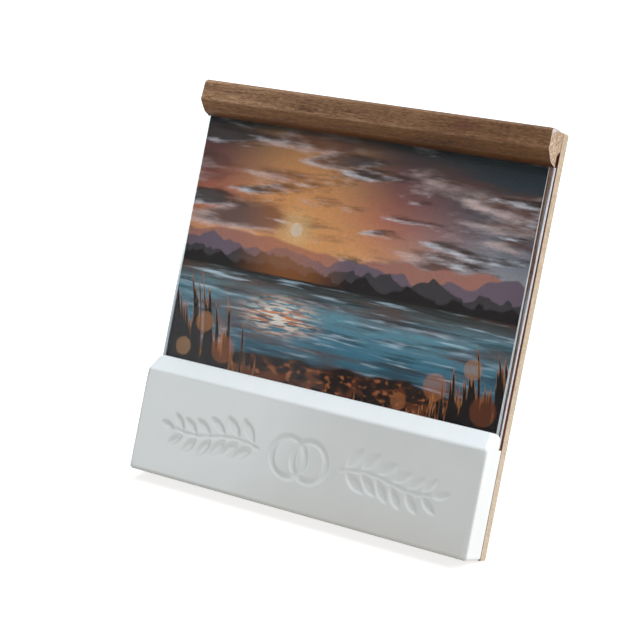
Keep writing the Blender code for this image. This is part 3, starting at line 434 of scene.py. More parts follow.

# %% [markdown]
# ## Clear sheet
#
# The sleeve is 0.25 mm polyester sheet, folded along the bottom. What the eye catches is a faint
# veil of reflection over the picture and a bright, cool line at the cut edge, which is painted here
# as a pale opaque finish: a painted highlight.
#
# A plain glass shader would block the lamps and leave the print in the dark. So rays that carry
# light to the print pass straight through a Transparent shader, and all the others meet the clear
# sheet. Polyester has an IOR of 1.6, but the photograph shows hardly any veil, as on a sheet with
# an anti-glare coat. That coat is matched with a low IOR. The free margin left of the print is
# painted grey low down, as shade, and the one at the right is dusty in long patches.

# %% Clear sheet and its cut edge
SHEET_IOR = 1.13
clear_sheet, tree, shader = new_finish("clear_polyester_sheet")
scuffs = add_node(tree, "TexNoise", (board_millimetres(tree), 0.25, 4.0))
haze = add_node(tree, "MapRange", (scuffs, 0.3, 0.8, 0.02, 0.07))
fill_sockets(
    tree, shader,
    {"Base Color": "#FAFCFD", "Roughness": haze, "IOR": SHEET_IOR, "Transmission Weight": 1.0},
)
lighting = any_ray(tree, "Shadow", "Diffuse")
passing = add_node(tree, "BsdfTransparent", {"Color": "#FAFCFD"})
sheet = add_node(tree, "MixShader", (lighting, shader, passing))
fill_sockets(tree, tree.nodes["Material Output"], {"Surface": sheet})

# Painted highlight: a pale, cool opaque finish on the cut edges, the top edges, the fold and a
# narrow strip at the right.
cut_edge_highlight, tree, shader = new_finish("cut_edge_of_clear_sheet")
highlight_tones = two_tones(tree, board_millimetres(tree), 0.6, 3.0, "#DCE6EE", "#FCFEFF")
fill_sockets(tree, shader, {"Base Color": highlight_tones, "Roughness": 0.35, "IOR": 1.5})

# The left margin is painted grey low down, as shade, and the right one is dusty in long patches.
shaded_and_dusty_margin, tree, shader = new_finish("clear_sheet_margin_shade_and_dust")
on_sheet = board_axes(tree)
painted_shade_low_down = add_node(tree, "MapRange:SMOOTHSTEP", (on_sheet.outputs["Z"], 100.0, 60.0, 0.18, 0.80))
streaked_place = board_millimetres(tree, (2.0, 2.0, 0.25))
margin_greys = two_tones(tree, streaked_place, 1.0, 2.0, "#C4CED4", "#DEE6EA")
fill_sockets(tree, shader, {"Base Color": margin_greys, "Roughness": 0.5, "IOR": 1.3})
clear = add_node(tree, "BsdfTransparent", {"Color": "#FAFCFD"})
settled = add_node(tree, "TexNoise", (board_millimetres(tree, (1.2, 1.0, 0.05)), 1.0))
dusty = add_node(tree, "MapRange", (settled, 0.48, 0.66, 0.0, 0.5))
at_right = add_node(tree, "Math:GREATER_THAN", (on_sheet.outputs["X"], 0.0))
veil = add_node(tree, "Mix", (at_right, painted_shade_low_down, dusty), data_type="FLOAT")
margin = add_node(tree, "MixShader", (veil, clear, shader))
fill_sockets(tree, tree.nodes["Material Output"], {"Surface": margin})
print("clear sheet: rays from lamps pass, others meet an IOR of", SHEET_IOR)

# %% [markdown]
# ## Card and photo paper
#
# Behind the print lies a plain white card, a matt uncoated board with hardly any texture. The
# print's own back and edges are the same white stock. A fine noise gives the paper its tooth.

# %% White card
TOOTH = 2.5
white_card, tree, shader = new_finish("uncoated_white_card")
tooth = add_node(tree, "TexNoise", (board_millimetres(tree), TOOTH, 3.0))
stock = add_node(tree, "Mix", (tooth, "#DDDDD9", "#E9E9E6"))
relief = add_node(tree, "Bump", {"Height": tooth, "Strength": 0.1, "Distance": 0.00005})
fill_sockets(tree, shader, {"Base Color": stock, "Roughness": 0.8, "IOR": 1.45, "Normal": relief})
print("the card's tooth is", 1 / TOOTH, "mm across")

# %% [markdown]
# ## The picture: its layers
#
# The print shows a made-up evening by a lake, in terracotta, orange, denim blue and deep teal.
# It is built as a painter works, from back to front. Each layer is a mask and a colour, and
# the last cell lays them over each other in a loop, so a layer can be changed or left out
# without touching the rest. X runs from 0 to 1.5 across the print and Y from 0 to 1 up it.
#
# Three kinds of mask do for everything: soft patches, all that lies under a ridge, and a round
# spot.

# %% Picture: masks
PRINT_SHIFT, PRINT_WIDTH, PRINT_HEIGHT, PRINT_BOTTOM = -1.3, 152.4, 101.6, 42.3
print_face, tree, shader = new_finish("satin_photo_print")
print_corner = (PRINT_SHIFT - PRINT_WIDTH / 2, 0.0, PRINT_BOTTOM)
spot = add_node(
    tree, "Mapping:TEXTURE",
    {"Vector": board_millimetres(tree), "Location": print_corner, "Scale": (PRINT_HEIGHT,) * 3},
)
on_print = add_node(tree, "SeparateXYZ", (spot,))
across, up = on_print.outputs["X"], on_print.outputs["Z"]


def patches(size, seed, start, end, most=1.0, detail=4.0):
    """Soft patches of a size across and up. A start near 0.4 covers most, near 0.6 little."""
    place = add_node(
        tree, "Mapping",
        {"Vector": spot, "Location": (seed, 0.0, seed), "Scale": (1 / size[0], 1.0, 1 / size[1])},
    )
    noise = add_node(tree, "TexNoise", (place, 1.0, detail, 0.55))
    return add_node(tree, "MapRange:SMOOTHSTEP", (noise, start, end, 0.0, most))


def under_ridge(height, swing, scale, seed, detail, softness, most=1.0):
    """All that lies below a line that swings about a height."""
    along = add_node(tree, "Math:MULTIPLY_ADD", (across, scale, seed))
    line = add_node(tree, "TexNoise", (along, 1.0, detail, 0.58), noise_dimensions="1D")
    ridge = add_node(tree, "Math:MULTIPLY_ADD", (line, swing, height - swing / 2))
    depth = add_node(tree, "Math:SUBTRACT", (ridge, up))
    return add_node(tree, "MapRange:SMOOTHSTEP", (depth, -softness, softness, 0.0, most))


def round_spot(middle, outer, inner, most=1.0, flat=1.0):
    """A round spot, full inside the inner radius, flatter than round where flat is above 1."""
    place = add_node(
        tree, "Mapping:TEXTURE",
        {"Vector": spot, "Location": (middle[0], 0.0, middle[1]), "Scale": (1.0, 1e6, 1 / flat)},
    )
    away = add_node(tree, "VectorMath:LENGTH", (place,))
    return add_node(tree, "MapRange:SMOOTHSTEP", (away.outputs["Value"], outer, inner, 0.0, most))


def all_of(*masks):
    """A mask that is full only where all of these masks are."""
    product = masks[0]
    for mask in masks[1:]:
        product = add_node(tree, "Math:MULTIPLY", (product, mask))
    return product


layers = []
print("print covers", PRINT_WIDTH, "x", PRINT_HEIGHT, "mm")

# %% [markdown]
# ## The picture: sky
#
# The sky goes from orange at the horizon to a dusky slate, and cools to blue away from the
# sun. A glow and a small bright sun stand left of the middle. Each bank of cloud is laid twice,
# first in a lit colour and a little lower, then in its own dark colour, which leaves a lit rim.

# %% Picture: sky
SUN = (0.50, 0.615)
sky = add_node(
    tree, "ValToRGB", {"Fac": up},
    stops=[
        (0.48, "#FFC084"), (0.58, "#F29E6C"), (0.70, "#D07860"), (0.84, "#945F58"),
        (1.00, "#414648"),
    ],
)
dusk = add_node(
    tree, "ValToRGB", {"Fac": up},
    stops=[(0.48, "#C4C2C8"), (0.62, "#8A97A3"), (0.80, "#475C67"), (1.00, "#24343B")],
)
away_from_sun = add_node(tree, "MapRange:SMOOTHSTEP", (across, 0.72, 1.42, 0.0, 0.9))
layers.append((away_from_sun, dusk))
layers.append((round_spot(SUN, 0.48, 0.0, 0.85, flat=0.62), "#FFBE7A"))
for size, seed, start, end, dark, lit in (
    ((0.75, 0.16), 3.3, 0.51, 0.61, "#6E4E46", "#FADCD6"),
    ((0.50, 0.09), 8.1, 0.54, 0.62, "#4A3B36", "#F4F0F6"),
):
    layers.append((patches(size, seed + 0.10, start, end, 0.9, 6.0), lit))
    layers.append((patches(size, seed, start - 0.02, end, 0.94, 6.0), dark))
layers.append((round_spot(SUN, 0.11, 0.02, 0.9), "#FFD79A"))
layers.append((round_spot(SUN, 0.030, 0.024), "#FFF3D6"))
print("sky:", len(layers), "layers")

# %% [markdown]
# ## The picture: hills and woods
#
# Each line of hills is a height that wanders with X. Far hills are pale with haze and soft at
# the edge, and near woods are dark and ragged, which is how a lens and the air draw them.

# %% Picture: hills and woods
for height, swing, scale, seed, detail, softness, colour in (
    (0.560, 0.17, 2.1, 4.0, 2.0, 0.007, "#BC8070"), (0.525, 0.20, 3.0, 9.3, 3.0, 0.005, "#7E6A76"),
    (0.495, 0.17, 4.4, 2.7, 4.0, 0.004, "#4A4446"), (0.462, 0.11, 9.0, 6.1, 9.0, 0.003, "#231D1C"),
):
    layers.append((under_ridge(height, swing, scale, seed, detail, softness), colour))
layers.append((round_spot(SUN, 0.30, 0.05, 0.30, flat=0.5), "#FF9C55"))
print("hills and woods: 4 ridges")

# %% [markdown]
# ## The picture: water
#
# The lake mirrors the woods darkly near the shore and the dusky sky nearer by. Ripples are
# patches far wider than they are high, and under the sun they pick up its light.

# %% Picture: water
water = add_node(
    tree, "ValToRGB", {"Fac": up},
    stops=[
        (0.05, "#2E4048"), (0.20, "#4C7E92"), (0.33, "#74A2B0"), (0.39, "#5A5C5A"),
        (0.43, "#231F1E"),
    ],
)
SHORE = 0.43
layers.append((under_ridge(SHORE, 0.010, 5.0, 1.0, 3.0, 0.003), water))
on_water = under_ridge(SHORE - 0.006, 0.008, 5.0, 1.0, 3.0, 0.004)
for size, seed, start, end, most, colour in (
    ((0.50, 0.060), 7.7, 0.46, 0.64, 0.66, "#6A4638"),
    ((0.34, 0.026), 5.2, 0.48, 0.64, 0.60, "#2B2A2E"),
    ((0.26, 0.020), 1.7, 0.53, 0.72, 0.85, "#CFE2EE"),
):
    layers.append((all_of(patches(size, seed, start, end, most, 3.0), on_water), colour))
sun_path = round_spot((SUN[0], 0.28), 0.24, 0.02, flat=2.2)
for size, seed, colour in (((0.12, 0.013), 2.2, "#F08F57"), ((0.07, 0.010), 6.4, "#FFEEDC")):
    ripples = patches(size, seed, 0.47, 0.56, 1.0, 3.0)
    layers.append((all_of(ripples, sun_path, on_water), colour))
print("water from 0 to", SHORE, "up the print")

# %% [markdown]
# ## The picture: bank and reeds
#
# The near bank is dark earth with patches of rust-red leaves. Reeds stand on it, in two clumps
# at the sides that leave the lake open. Their blades are a noise stretched upwards, cut off at
# a height that wanders. The cut is made twice, so each blade keeps a thin lit edge.

# %% Picture: bank and reeds
layers.append((under_ridge(0.13, 0.15, 1.5, 5.2, 4.0, 0.010), "#20140F"))
on_bank = under_ridge(0.12, 0.15, 1.5, 5.2, 4.0, 0.012)
for size, seed, start, end, colour in (
    ((0.10, 0.05), 4.4, 0.48, 0.62, "#6E3A22"), ((0.035, 0.022), 9.6, 0.54, 0.64, "#B5673A")
):
    layers.append((all_of(patches(size, seed, start, end, 0.9), on_bank), colour))

CLUMP = 0.34
from_middle = add_node(tree, "Math:SUBTRACT", (across, 0.80))
from_middle = add_node(tree, "Math:ABSOLUTE", (from_middle,))
clump = add_node(tree, "MapRange:SMOOTHSTEP", (from_middle, 0.22, 0.72, 0.02, CLUMP))
along = add_node(tree, "Math:MULTIPLY", (across, 7.0))
uneven = add_node(tree, "TexNoise", (along, 1.0, 3.0), noise_dimensions="1D")
top = add_node(tree, "Math:MULTIPLY_ADD", (uneven, 0.9, 0.55))
top = add_node(tree, "Math:MULTIPLY", (top, clump))
room = add_node(tree, "Math:SUBTRACT", (top, up))
bent = add_node(tree, "Math:MULTIPLY", (up, up))
bent = add_node(tree, "Math:MULTIPLY_ADD", (bent, 0.55, across))
stalks = add_node(tree, "CombineXYZ", {"X": bent, "Z": up})
upright = add_node(tree, "Mapping", {"Vector": stalks, "Scale": (62.0, 1.0, 2.2)})
blades = add_node(tree, "TexNoise", (upright, 1.0, 2.0))
cut = add_node(tree, "Math:MULTIPLY_ADD", (room, 1.5, blades))
for start, most, colour in ((0.60, 0.95, "#C27A48"), (0.635, 1.0, "#1A1210")):
    mask = add_node(tree, "MapRange:SMOOTHSTEP", (cut, start, start + 0.03, 0.0, most))
    layers.append((mask, colour))
print("bank and reeds: clumps up to", CLUMP, "of the print's height")

# %% [markdown]
# ## The picture: lens and paper
#
# A few soft sparks of light float over the reeds, where a lens would blur drops of dew, and the
# corners fall off darker. The strip next to the rail is painted darker too: painted shadow of the
# rail. Then all layers are laid over the sky. A photo print also has a very fine satin grain, drawn
# half a millimetre wide so that it shows.

# %% Picture: lens and paper
for x, y, size, most, colour in (
    (0.16, 0.20, 0.045, 0.40, "#E8965A"), (0.27, 0.11, 0.060, 0.34, "#C9723F"),
    (0.08, 0.09, 0.040, 0.42, "#F0B078"), (1.22, 0.15, 0.055, 0.36, "#D98350"),
    (1.36, 0.24, 0.042, 0.34, "#E8A06A"), (1.43, 0.10, 0.060, 0.30, "#B8643A"),
    (1.08, 0.07, 0.036, 0.34, "#D9824C"),
):
    layers.append((round_spot((x, y), size, size * 0.8, most), colour))
layers.append((round_spot((0.75, 0.5), 0.55, 1.05, 0.42), "#0D1014"))
# Painted shadow: the strip of the print next to the rail is darkened.
painted_rail_shadow = add_node(tree, "MapRange:SMOOTHSTEP", (up, 0.955, 0.99, 0.0, 0.8))
layers.append((painted_rail_shadow, "#1C2022"))
picture = sky
for mask, colour in layers:
    picture = add_node(tree, "Mix", (mask, picture, colour))
satin = add_node(tree, "TexNoise", (board_millimetres(tree), 2.0, 2.0))
grain = add_node(tree, "MapRange", (satin, 0.3, 0.7, 0.88, 1.12))
grained = add_node(tree, "VectorMath:MULTIPLY", (picture, grain))
fill_sockets(tree, shader, {"Base Color": grained, "Roughness": 0.5, "IOR": 1.15})
print("picture:", len(layers), "layers,", len(tree.nodes), "nodes")

# %% [markdown]
# ## Plated steel and foam
#
# The hinge, its pin, screws and rivets are mild steel with a thin bright zinc plating: a grey
# metal with soft, uneven shine from the barrel-plating, and fine random scratches. The rail's
# screws have the yellow passivated kind. Metal keeps Blender's default IOR. The foam tape
# behind the ceramic is a soft grey closed-cell foam.

# %% Zinc and foam
CELLS = 3.0


def zinc(name, dark, light, roughness):
    """Zinc-plated steel whose shine varies a little from place to place."""
    finish, tree, shader = new_finish(name)
    place = board_millimetres(tree)
    bloom = add_node(tree, "TexNoise", (place, 0.8, 4.0))
    colour = add_node(tree, "Mix", (bloom, dark, light))
    shine = add_node(tree, "MapRange", (bloom, 0.3, 0.7, roughness - 0.08, roughness + 0.1))
    scratches = add_node(tree, "TexNoise", (board_millimetres(tree, (0.4, 6.0, 6.0)), 1.0))
    marks = add_node(tree, "Bump", {"Height": scratches, "Strength": 0.12, "Distance": 0.00004})
    fill_sockets(
        tree, shader, {"Base Color": colour, "Metallic": 1.0, "Roughness": shine, "Normal": marks}
    )
    return finish


bright_zinc = zinc("bright_zinc_plated_steel", "#9C9FA1", "#C4C6C8", 0.34)
yellow_zinc = zinc("yellow_zinc_plated_steel", "#A58A4E", "#CDB47C", 0.36)

foam_tape, tree, shader = new_finish("grey_foam_tape")
cells = add_node(tree, "TexVoronoi", (board_millimetres(tree), CELLS)).outputs["Distance"]
foam_tone = add_node(tree, "Mix", (cells, "#8E8C86", "#B5B2AB"))
pits = add_node(tree, "Bump", {"Height": cells, "Strength": 0.4, "Distance": 0.0001})
fill_sockets(tree, shader, {"Base Color": foam_tone, "Roughness": 0.95, "Normal": pits})
print("foam cells are", round(1 / CELLS, 2), "mm across")

# %% [markdown]
# ## Outlines and sweeps
#
# The ceramic block and the rail are extrusions: one outline, seen from the end, carried along
# the display. A list of corners with a radius each describes such an outline, as a maker would
# dimension it. The first helper rounds the corners, the second moves an outline inwards, and
# the others join a row of outlines into a closed mesh and put it in place. Weighted normals
# keep large flat faces flat, so that only the narrow rounded ones catch a highlight.

# %% Outline and sweep helpers


def round_corners(corners, closed=True, spacing=lambda middle: 1.5):
    """Points of an outline with corners (depth, height, radius), spaced as wanted at a place."""
    points = []
    for i, (depth, height, radius) in enumerate(corners):
        corner = np.array((depth, height))
        if radius == 0.0:
            points.append(corner)
            continue
        arriving = corner - np.array(corners[i - 1][:2])
        leaving = np.array(corners[(i + 1) % len(corners)][:2]) - corner
        arriving = arriving / np.linalg.norm(arriving)
        leaving = leaving / np.linalg.norm(leaving)
        cross = arriving[0] * leaving[1] - arriving[1] * leaving[0]
        turn = math.atan2(cross, float(arriving @ leaving))
        start = corner - arriving * radius * math.tan(abs(turn) / 2)
        centre = start + math.copysign(radius, turn) * np.array((-arriving[1], arriving[0]))
        for step in range(9):
            c, s = math.cos(turn * step / 8), math.sin(turn * step / 8)
            points.append(centre + np.array(((c, -s), (s, c))) @ (start - centre))
    outline = []
    for i in range(len(points) if closed else len(points) - 1):
        start, end = points[i], points[(i + 1) % len(points)]
        length = np.linalg.norm(end - start)
        pieces = max(1, math.ceil(length / spacing((start + end) / 2)))
        outline.extend(start + (end - start) * k / pieces for k in range(pieces))
    if not closed:
        outline.append(points[-1])
    return np.array(outline)


def move_inwards(outline, distance, closed=True):
    """An outline moved to its left, by one distance or by one for each of its points."""
    before, after = np.roll(outline, 1, axis=0), np.roll(outline, -1, axis=0)
    if not closed:
        before[0] = 2 * outline[0] - outline[1]
        after[-1] = 2 * outline[-1] - outline[-2]
    arriving, leaving = outline - before, after - outline
    arriving = arriving / np.linalg.norm(arriving, axis=1)[:, None]
    leaving = leaving / np.linalg.norm(leaving, axis=1)[:, None]
    along = arriving + leaving
    left = np.stack((-along[:, 1], along[:, 0]), axis=1)
    left = left / np.linalg.norm(left, axis=1)[:, None]
    square = np.stack((-leaving[:, 1], leaving[:, 0]), axis=1)
    stretch = distance / np.clip((left * square).sum(axis=1), 0.5, 1.0)
    return outline + left * np.reshape(stretch, (-1, 1))


def at(x, outline):
    """The outline as points (x, depth, height) at a place along the display."""
    return np.column_stack((np.full(len(outline), x), outline))


def sweep(name, rings):
    """A closed mesh through rings of points (x, depth, height)."""
    count = len(rings[0])
    faces = []
    for k in range(len(rings) - 1):
        for i in range(count):
            a, b = k * count + i, k * count + (i + 1) % count
            faces.append((a, b, b + count, a + count))
    faces.append(tuple(range(count))[::-1])
    faces.append(tuple(range((len(rings) - 1) * count, len(rings) * count)))
    mesh = bpy.data.meshes.new(name)
    mesh.from_pydata([LEAN_BACK @ Vector(point) for ring in rings for point in ring], [], faces)
    shape = bmesh.new()
    shape.from_mesh(mesh)
    bmesh.ops.recalc_face_normals(shape, faces=shape.faces)
    shape.to_mesh(mesh)
    shape.free()
    return mesh


def add_object(name, data):
    """A new object in the scene that shows a mesh, a camera or a lamp."""
    thing = bpy.data.objects.new(name, data)
    bpy.context.scene.collection.objects.link(thing)
    return thing


def put_in_place(mesh, finishes, body, stands_for, crease=35.0, choose=lambda *face: 0):
    """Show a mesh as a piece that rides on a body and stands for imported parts.

    Choose returns the number of a face's finish for its direction and its middle.
    """
    mesh.shade_smooth()
    mesh.set_sharp_from_angle(angle=math.radians(crease))
    mesh.materials.clear()
    for finish in finishes:
        mesh.materials.append(finish)
    turn = STAND_UP.to_3x3().normalized()
    for face in mesh.polygons:
        face.material_index = choose((turn @ face.normal).normalized(), STAND_UP @ face.center)
    piece = add_object(mesh.name, mesh)
    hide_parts(*stands_for)
    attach(piece, body)
    flat_first = piece.modifiers.new("flat_faces_first", "WEIGHTED_NORMAL")
    flat_first.keep_sharp = True
    print(mesh.name, "rides on", body, "with", len(mesh.polygons), "faces")
    return piece


square = move_inwards(round_corners([(0, 0, 0), (10, 0, 0), (10, 10, 0), (0, 10, 0)]), 1.0)
print("a 10 mm square moved in by 1 mm is", np.ptp(square, axis=0), "mm")

# %% [markdown]
# ## The ornament as a depth map
#
# On the real block the ornament is pressed in while the clay is soft, and the glaze rounds its
# edges further. Cutting it with booleans would give hard steps. So the front is a fine grid, and
# a distance function says how far each of its points lies outside or inside the nearest stroke.
# A soft step turns that distance into a depth. In the kiln the glaze runs down a little and
# fills the upper walls, so these slope more gently than the lower ones, which catch the light
# from above. Two linked rings stand between two leafy sprigs.

# %% Ornament depth
ORNAMENT_HEIGHT, ORNAMENT_DEPTH, ORNAMENT_SLOPE = 20.15, 0.25, 1.4
RING_SHIFT, RING_RADIUS, RING_BAND, STEM_BAND = 4.8, 7.6, 1.1, 0.55
SPRIG_START, STEM_LENGTH, WAVE, WAVE_LENGTH = 19.0, 39.02, 1.4, 43.0
LEAF_PITCH, LEAF_FIRST, LEAF_LENGTH, LEAF_WIDTH, LEAF_OUT = 6.7, 2.6, 10.4, 4.2, 1.2
LEAF_TURN, LEAF_SHRINK = math.radians(44.0), 0.3


def leaf_distance(x, y, base, heading, size):
    """Distance to a leaf of two arcs that grows from base along heading, negative inside."""
    length, width = LEAF_LENGTH * size, LEAF_WIDTH * size
    radius = (length**2 + width**2) / (4 * width)
    along = (x - base[0]) * math.cos(heading) + (y - base[1]) * math.sin(heading)
    aside = (y - base[1]) * math.cos(heading) - (x - base[0]) * math.sin(heading)
    sink = radius - width / 2
    upper = np.hypot(along - length / 2, aside + sink) - radius
    lower = np.hypot(along - length / 2, aside - sink) - radius
    return np.maximum(upper, lower)


def ornament_distance(x, y):
    """Distance to the nearest stroke of the ornament, with (0, 0) at its middle."""
    x = np.abs(x)
    rings = [np.hypot(x + shift, y) - RING_RADIUS for shift in (-RING_SHIFT, RING_SHIFT)]
    distance = np.minimum(*np.abs(rings)) - RING_BAND
    along = np.clip(x - SPRIG_START, 0.0, STEM_LENGTH)
    stem = WAVE * np.sin(math.tau * along / WAVE_LENGTH)
    distance = np.minimum(distance, np.hypot(x - SPRIG_START - along, y - stem) - STEM_BAND)
    for pair in range(6):
        s = LEAF_FIRST + LEAF_PITCH * pair
        height = WAVE * math.sin(math.tau * s / WAVE_LENGTH)
        angle = math.atan(WAVE * math.tau * math.cos(math.tau * s / WAVE_LENGTH) / WAVE_LENGTH)
        for side in (1.0, -1.0):
            out = side * LEAF_OUT
            base = (SPRIG_START + s - out * math.sin(angle), height + out * math.cos(angle))
            heading = angle + side * LEAF_TURN
            size = 1.0 - LEAF_SHRINK * s / STEM_LENGTH
            distance = np.minimum(distance, leaf_distance(x, y, base, heading, size))
    end = WAVE * math.sin(math.tau * STEM_LENGTH / WAVE_LENGTH)
    tip = (SPRIG_START + STEM_LENGTH + LEAF_OUT, end)
    return np.minimum(distance, leaf_distance(x, y, tip, 0.3, 0.7))


def pressed_in(x, height):
    """1 inside a stroke and 0 outside it, with a soft step between them."""
    distance = ornament_distance(x, height - ORNAMENT_HEIGHT)
    inside = np.clip(0.5 - distance / ORNAMENT_SLOPE, 0.0, 1.0)
    return inside * inside * (3 - 2 * inside)


def ornament_depth(x, height):
    """How far the front is pressed in at a point, less where glaze ran down from above."""
    here = pressed_in(x, height)
    filled = [np.minimum(here, pressed_in(x, height + run)) for run in (0.5, 1.0, 1.5)]
    return ORNAMENT_DEPTH * (here + sum(filled)) / 4


print("pressed", ORNAMENT_DEPTH, "mm deep over", 2 * (SPRIG_START + STEM_LENGTH + 8.5), "mm")

# %% [markdown]
# ## The ceramic block
#
# Its outline has a flat front, a bevelled top, a lip, a rebate behind the lip where the sleeve
# stands, and a foot that is wiped back a little. Towards each end the outlines shrink, slowly at
# first and then fast, which rounds the end's edges as the glaze does: most at the lip, where
# the photograph shows the roundest corner, and not at all at the back, which is flush with the
# board. The front's points are 0.4 mm apart to carry the ornament, and the others 1.2 mm.

# %% Ceramic block
CERAMIC_FRONT = -10.4
END_LENGTH, END_SHRINK, LIP_DROP, FOOT_RISE = 1.0, 0.55, 1.3, 1.0
ceramic_outline = round_corners(
    [
        (-0.05, 0.0, 0.0), (-0.05, 40.4, 0.0), (-1.87, 40.4, 0.0), (-1.87, 46.2, 1.2),
        (-5.3, 46.2, 2.0), (CERAMIC_FRONT, 40.3, 2.2), (CERAMIC_FRONT, 1.05, 1.5),
        (CERAMIC_FRONT + 0.36, 0.0, 0.3),
    ],
    spacing=lambda middle: 0.4 if middle[0] < CERAMIC_FRONT + 0.001 else 1.2,
)
depths, heights = ceramic_outline.T
shrink = np.interp(depths, (CERAMIC_FRONT, -5.0, -1.9, -0.3), (1.0, 1.3, 0.45, 0.0))
shrink = END_SHRINK * shrink * np.interp(heights, (0.0, 3.0, 38.0, 46.0), (0.4, 1.0, 1.1, 2.1))
length = END_LENGTH * np.interp(heights, (0.0, 3.0, 36.0, 41.0, 46.0), (1.7, 1.0, 1.0, 2.0, 3.2))
drop = LIP_DROP * np.interp(heights, (41.5, 46.2), (0.0, 1.0))
drop -= FOOT_RISE * np.interp(heights, (0.0, 3.0), (1.0, 0.0))
end_rings = []
for step in range(9):
    share = math.cos(math.pi / 2 * step / 8)
    sunk = 1 - math.sqrt(1 - share**2.6)
    ring = at(0.0, move_inwards(ceramic_outline, shrink * sunk))
    ring[:, 0] = HALF_WIDTH - length * (1 - share)
    ring[:, 2] -= drop * sunk
    end_rings.append(ring)
block_rings = [ring * (-1.0, 1.0, 1.0) for ring in end_rings]
reach = HALF_WIDTH - max(length) - 0.2
for x in np.linspace(-reach, reach, round(2 * reach / 0.4))[1:-1]:
    ring = at(x, ceramic_outline)
    front = depths < CERAMIC_FRONT + 0.001
    ring[front, 1] += ornament_depth(x, heights[front])
    block_rings.append(ring)
block_rings.extend(reversed(end_rings))
ceramic = sweep("glazed_ceramic_block", block_rings)
put_in_place(ceramic, [white_glaze], "frame", ["ceramic_base"], crease=50.0)

# %% [markdown]
# ## The rail
#
# The rail's foil is only paper, yet in the photograph its cut edge shows at the raw end as a
# pale line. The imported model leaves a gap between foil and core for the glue. Here both are
# swept from the same outline, and the foil lies on the core. The rail's left end isn't sawn
# quite square: it stands half a millimetre proud at the nose and its top corner is worn round.
# At the right end the rear of the top is sanded a fifth of a millimetre lower.

# %% Rail core and foil
FOIL = 0.3
PROUD_NOSE, LOW_LIP, WORN_BACK, WORN_DOWN, SANDED = 0.45, 0.35, 0.35, 0.30, 0.2
rail_outside = round_corners(
    [
        (-0.05, 156.1, 0.0), (-4.8, 156.95, 5.0), (-9.1, 156.88, 1.35), (-9.1, 149.0, 1.0),
        (-5.6, 144.8, 3.0), (-2.07, 143.4, 0.0),
    ],
    closed=False,
)
rail_inside = move_inwards(rail_outside, FOIL, closed=False)
foil_ring = np.concatenate((rail_outside, rail_inside[::-1]))
core_ring = np.concatenate((rail_inside, [(-2.07, 147.4), (-0.05, 149.4)]))


def crooked_end(outline):
    """The left end's points, proud at the nose, low at the lip and worn at the top corner."""
    ring = at(-HALF_WIDTH, outline)
    height = ring[:, 2].copy()
    ring[:, 0] -= PROUD_NOSE * np.exp(-(((height - 148.5) / 3.0) ** 2))
    ring[:, 2] -= LOW_LIP * np.interp(height, (143.0, 152.0), (1.0, 0.0))
    painted_shade_low_down = np.interp(height, (154.0, 157.0), (0.0, 1.0))
    painted_shade_low_down *= np.interp(ring[:, 1], (-9.0, -2.0), (1.0, 0.0))
    ring[:, 1] += WORN_BACK * painted_shade_low_down
    ring[:, 2] -= WORN_DOWN * painted_shade_low_down
    return ring


def rail_rings(outline):
    """The rings of a piece of the rail, from its crooked left end to its sanded right end."""
    places = (-HALF_WIDTH + 0.7, -HALF_WIDTH + 4.0, 0.0, HALF_WIDTH - 12.0)
    last = at(HALF_WIDTH, outline)
    rear_top = np.interp(last[:, 1], (-8.0, -5.0), (0.0, 1.0))
    last[:, 2] -= SANDED * rear_top * np.interp(last[:, 2], (153.0, 156.0), (0.0, 1.0))
    return [crooked_end(outline), *(at(x, outline) for x in places), last]


def is_end(direction, middle):
    """1 for a face at an end of the rail, 0 for any other."""
    return int(abs(direction.x) > 0.8)


rail_foil = sweep("rail_walnut_foil", rail_rings(foil_ring))
put_in_place(rail_foil, [rail_walnut, foil_paper], "frame", ["top_rail_wrap"], choose=is_end)
rail_core = sweep("rail_fibreboard_core", rail_rings(core_ring))
put_in_place(rail_core, [rail_end], "frame", ["top_rail_core"])

# %% [markdown]
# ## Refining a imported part
#
# The board, the strut and the fittings already have the right shape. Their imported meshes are
# flat triangles that share no corners, so their edges can't be softened. A copy is welded and
# its flat triangles are joined, and a narrow bevel breaks its edges as handling does. The
# copy's faces can also take different finishes: sawn edges, pressed faces, a cut edge.

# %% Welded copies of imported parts


def welded_copy(node, name, reshape=None):
    """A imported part's mesh with shared corners and whole flat faces."""
    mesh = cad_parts[node].data.copy()
    mesh.name = name
    shape = bmesh.new()
    shape.from_mesh(mesh)
    bmesh.ops.remove_doubles(shape, verts=shape.verts, dist=0.000002)
    if reshape:
        for vertex in shape.verts:
            vertex.co = LEAN_BACK @ Vector(reshape(*(STAND_UP @ vertex.co)))
    bmesh.ops.dissolve_limit(
        shape, angle_limit=math.radians(0.5), use_dissolve_boundaries=False, verts=shape.verts,
        edges=shape.edges,
    )
    bmesh.ops.recalc_face_normals(shape, faces=shape.faces)
    shape.to_mesh(mesh)
    shape.free()
    return mesh


def soften_edges(piece, width):
    """Break a piece's edges with a narrow bevel, width in millimetres."""
    bevel = piece.modifiers.new("broken_edges", "BEVEL")
    bevel.width = width * MM
    bevel.segments = 2
    bevel.limit_method = "ANGLE"
    bevel.angle_limit = math.radians(40.0)
    piece.modifiers.move(len(piece.modifiers) - 1, 0)
    return piece


def refine(node, name, finishes, body, reshape=None, softness=0.0, **settings):
    """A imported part's welded copy, put in its place with edges broken by the softness in mm."""
    piece = put_in_place(welded_copy(node, name, reshape), finishes, body, [node], **settings)
    return soften_edges(piece, softness) if softness else piece


packed_faces = len(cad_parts["back_board"].data.polygons)
whole_faces = len(welded_copy("back_board", "trial").polygons)
print("packed board:", packed_faces, "faces, whole:", whole_faces)

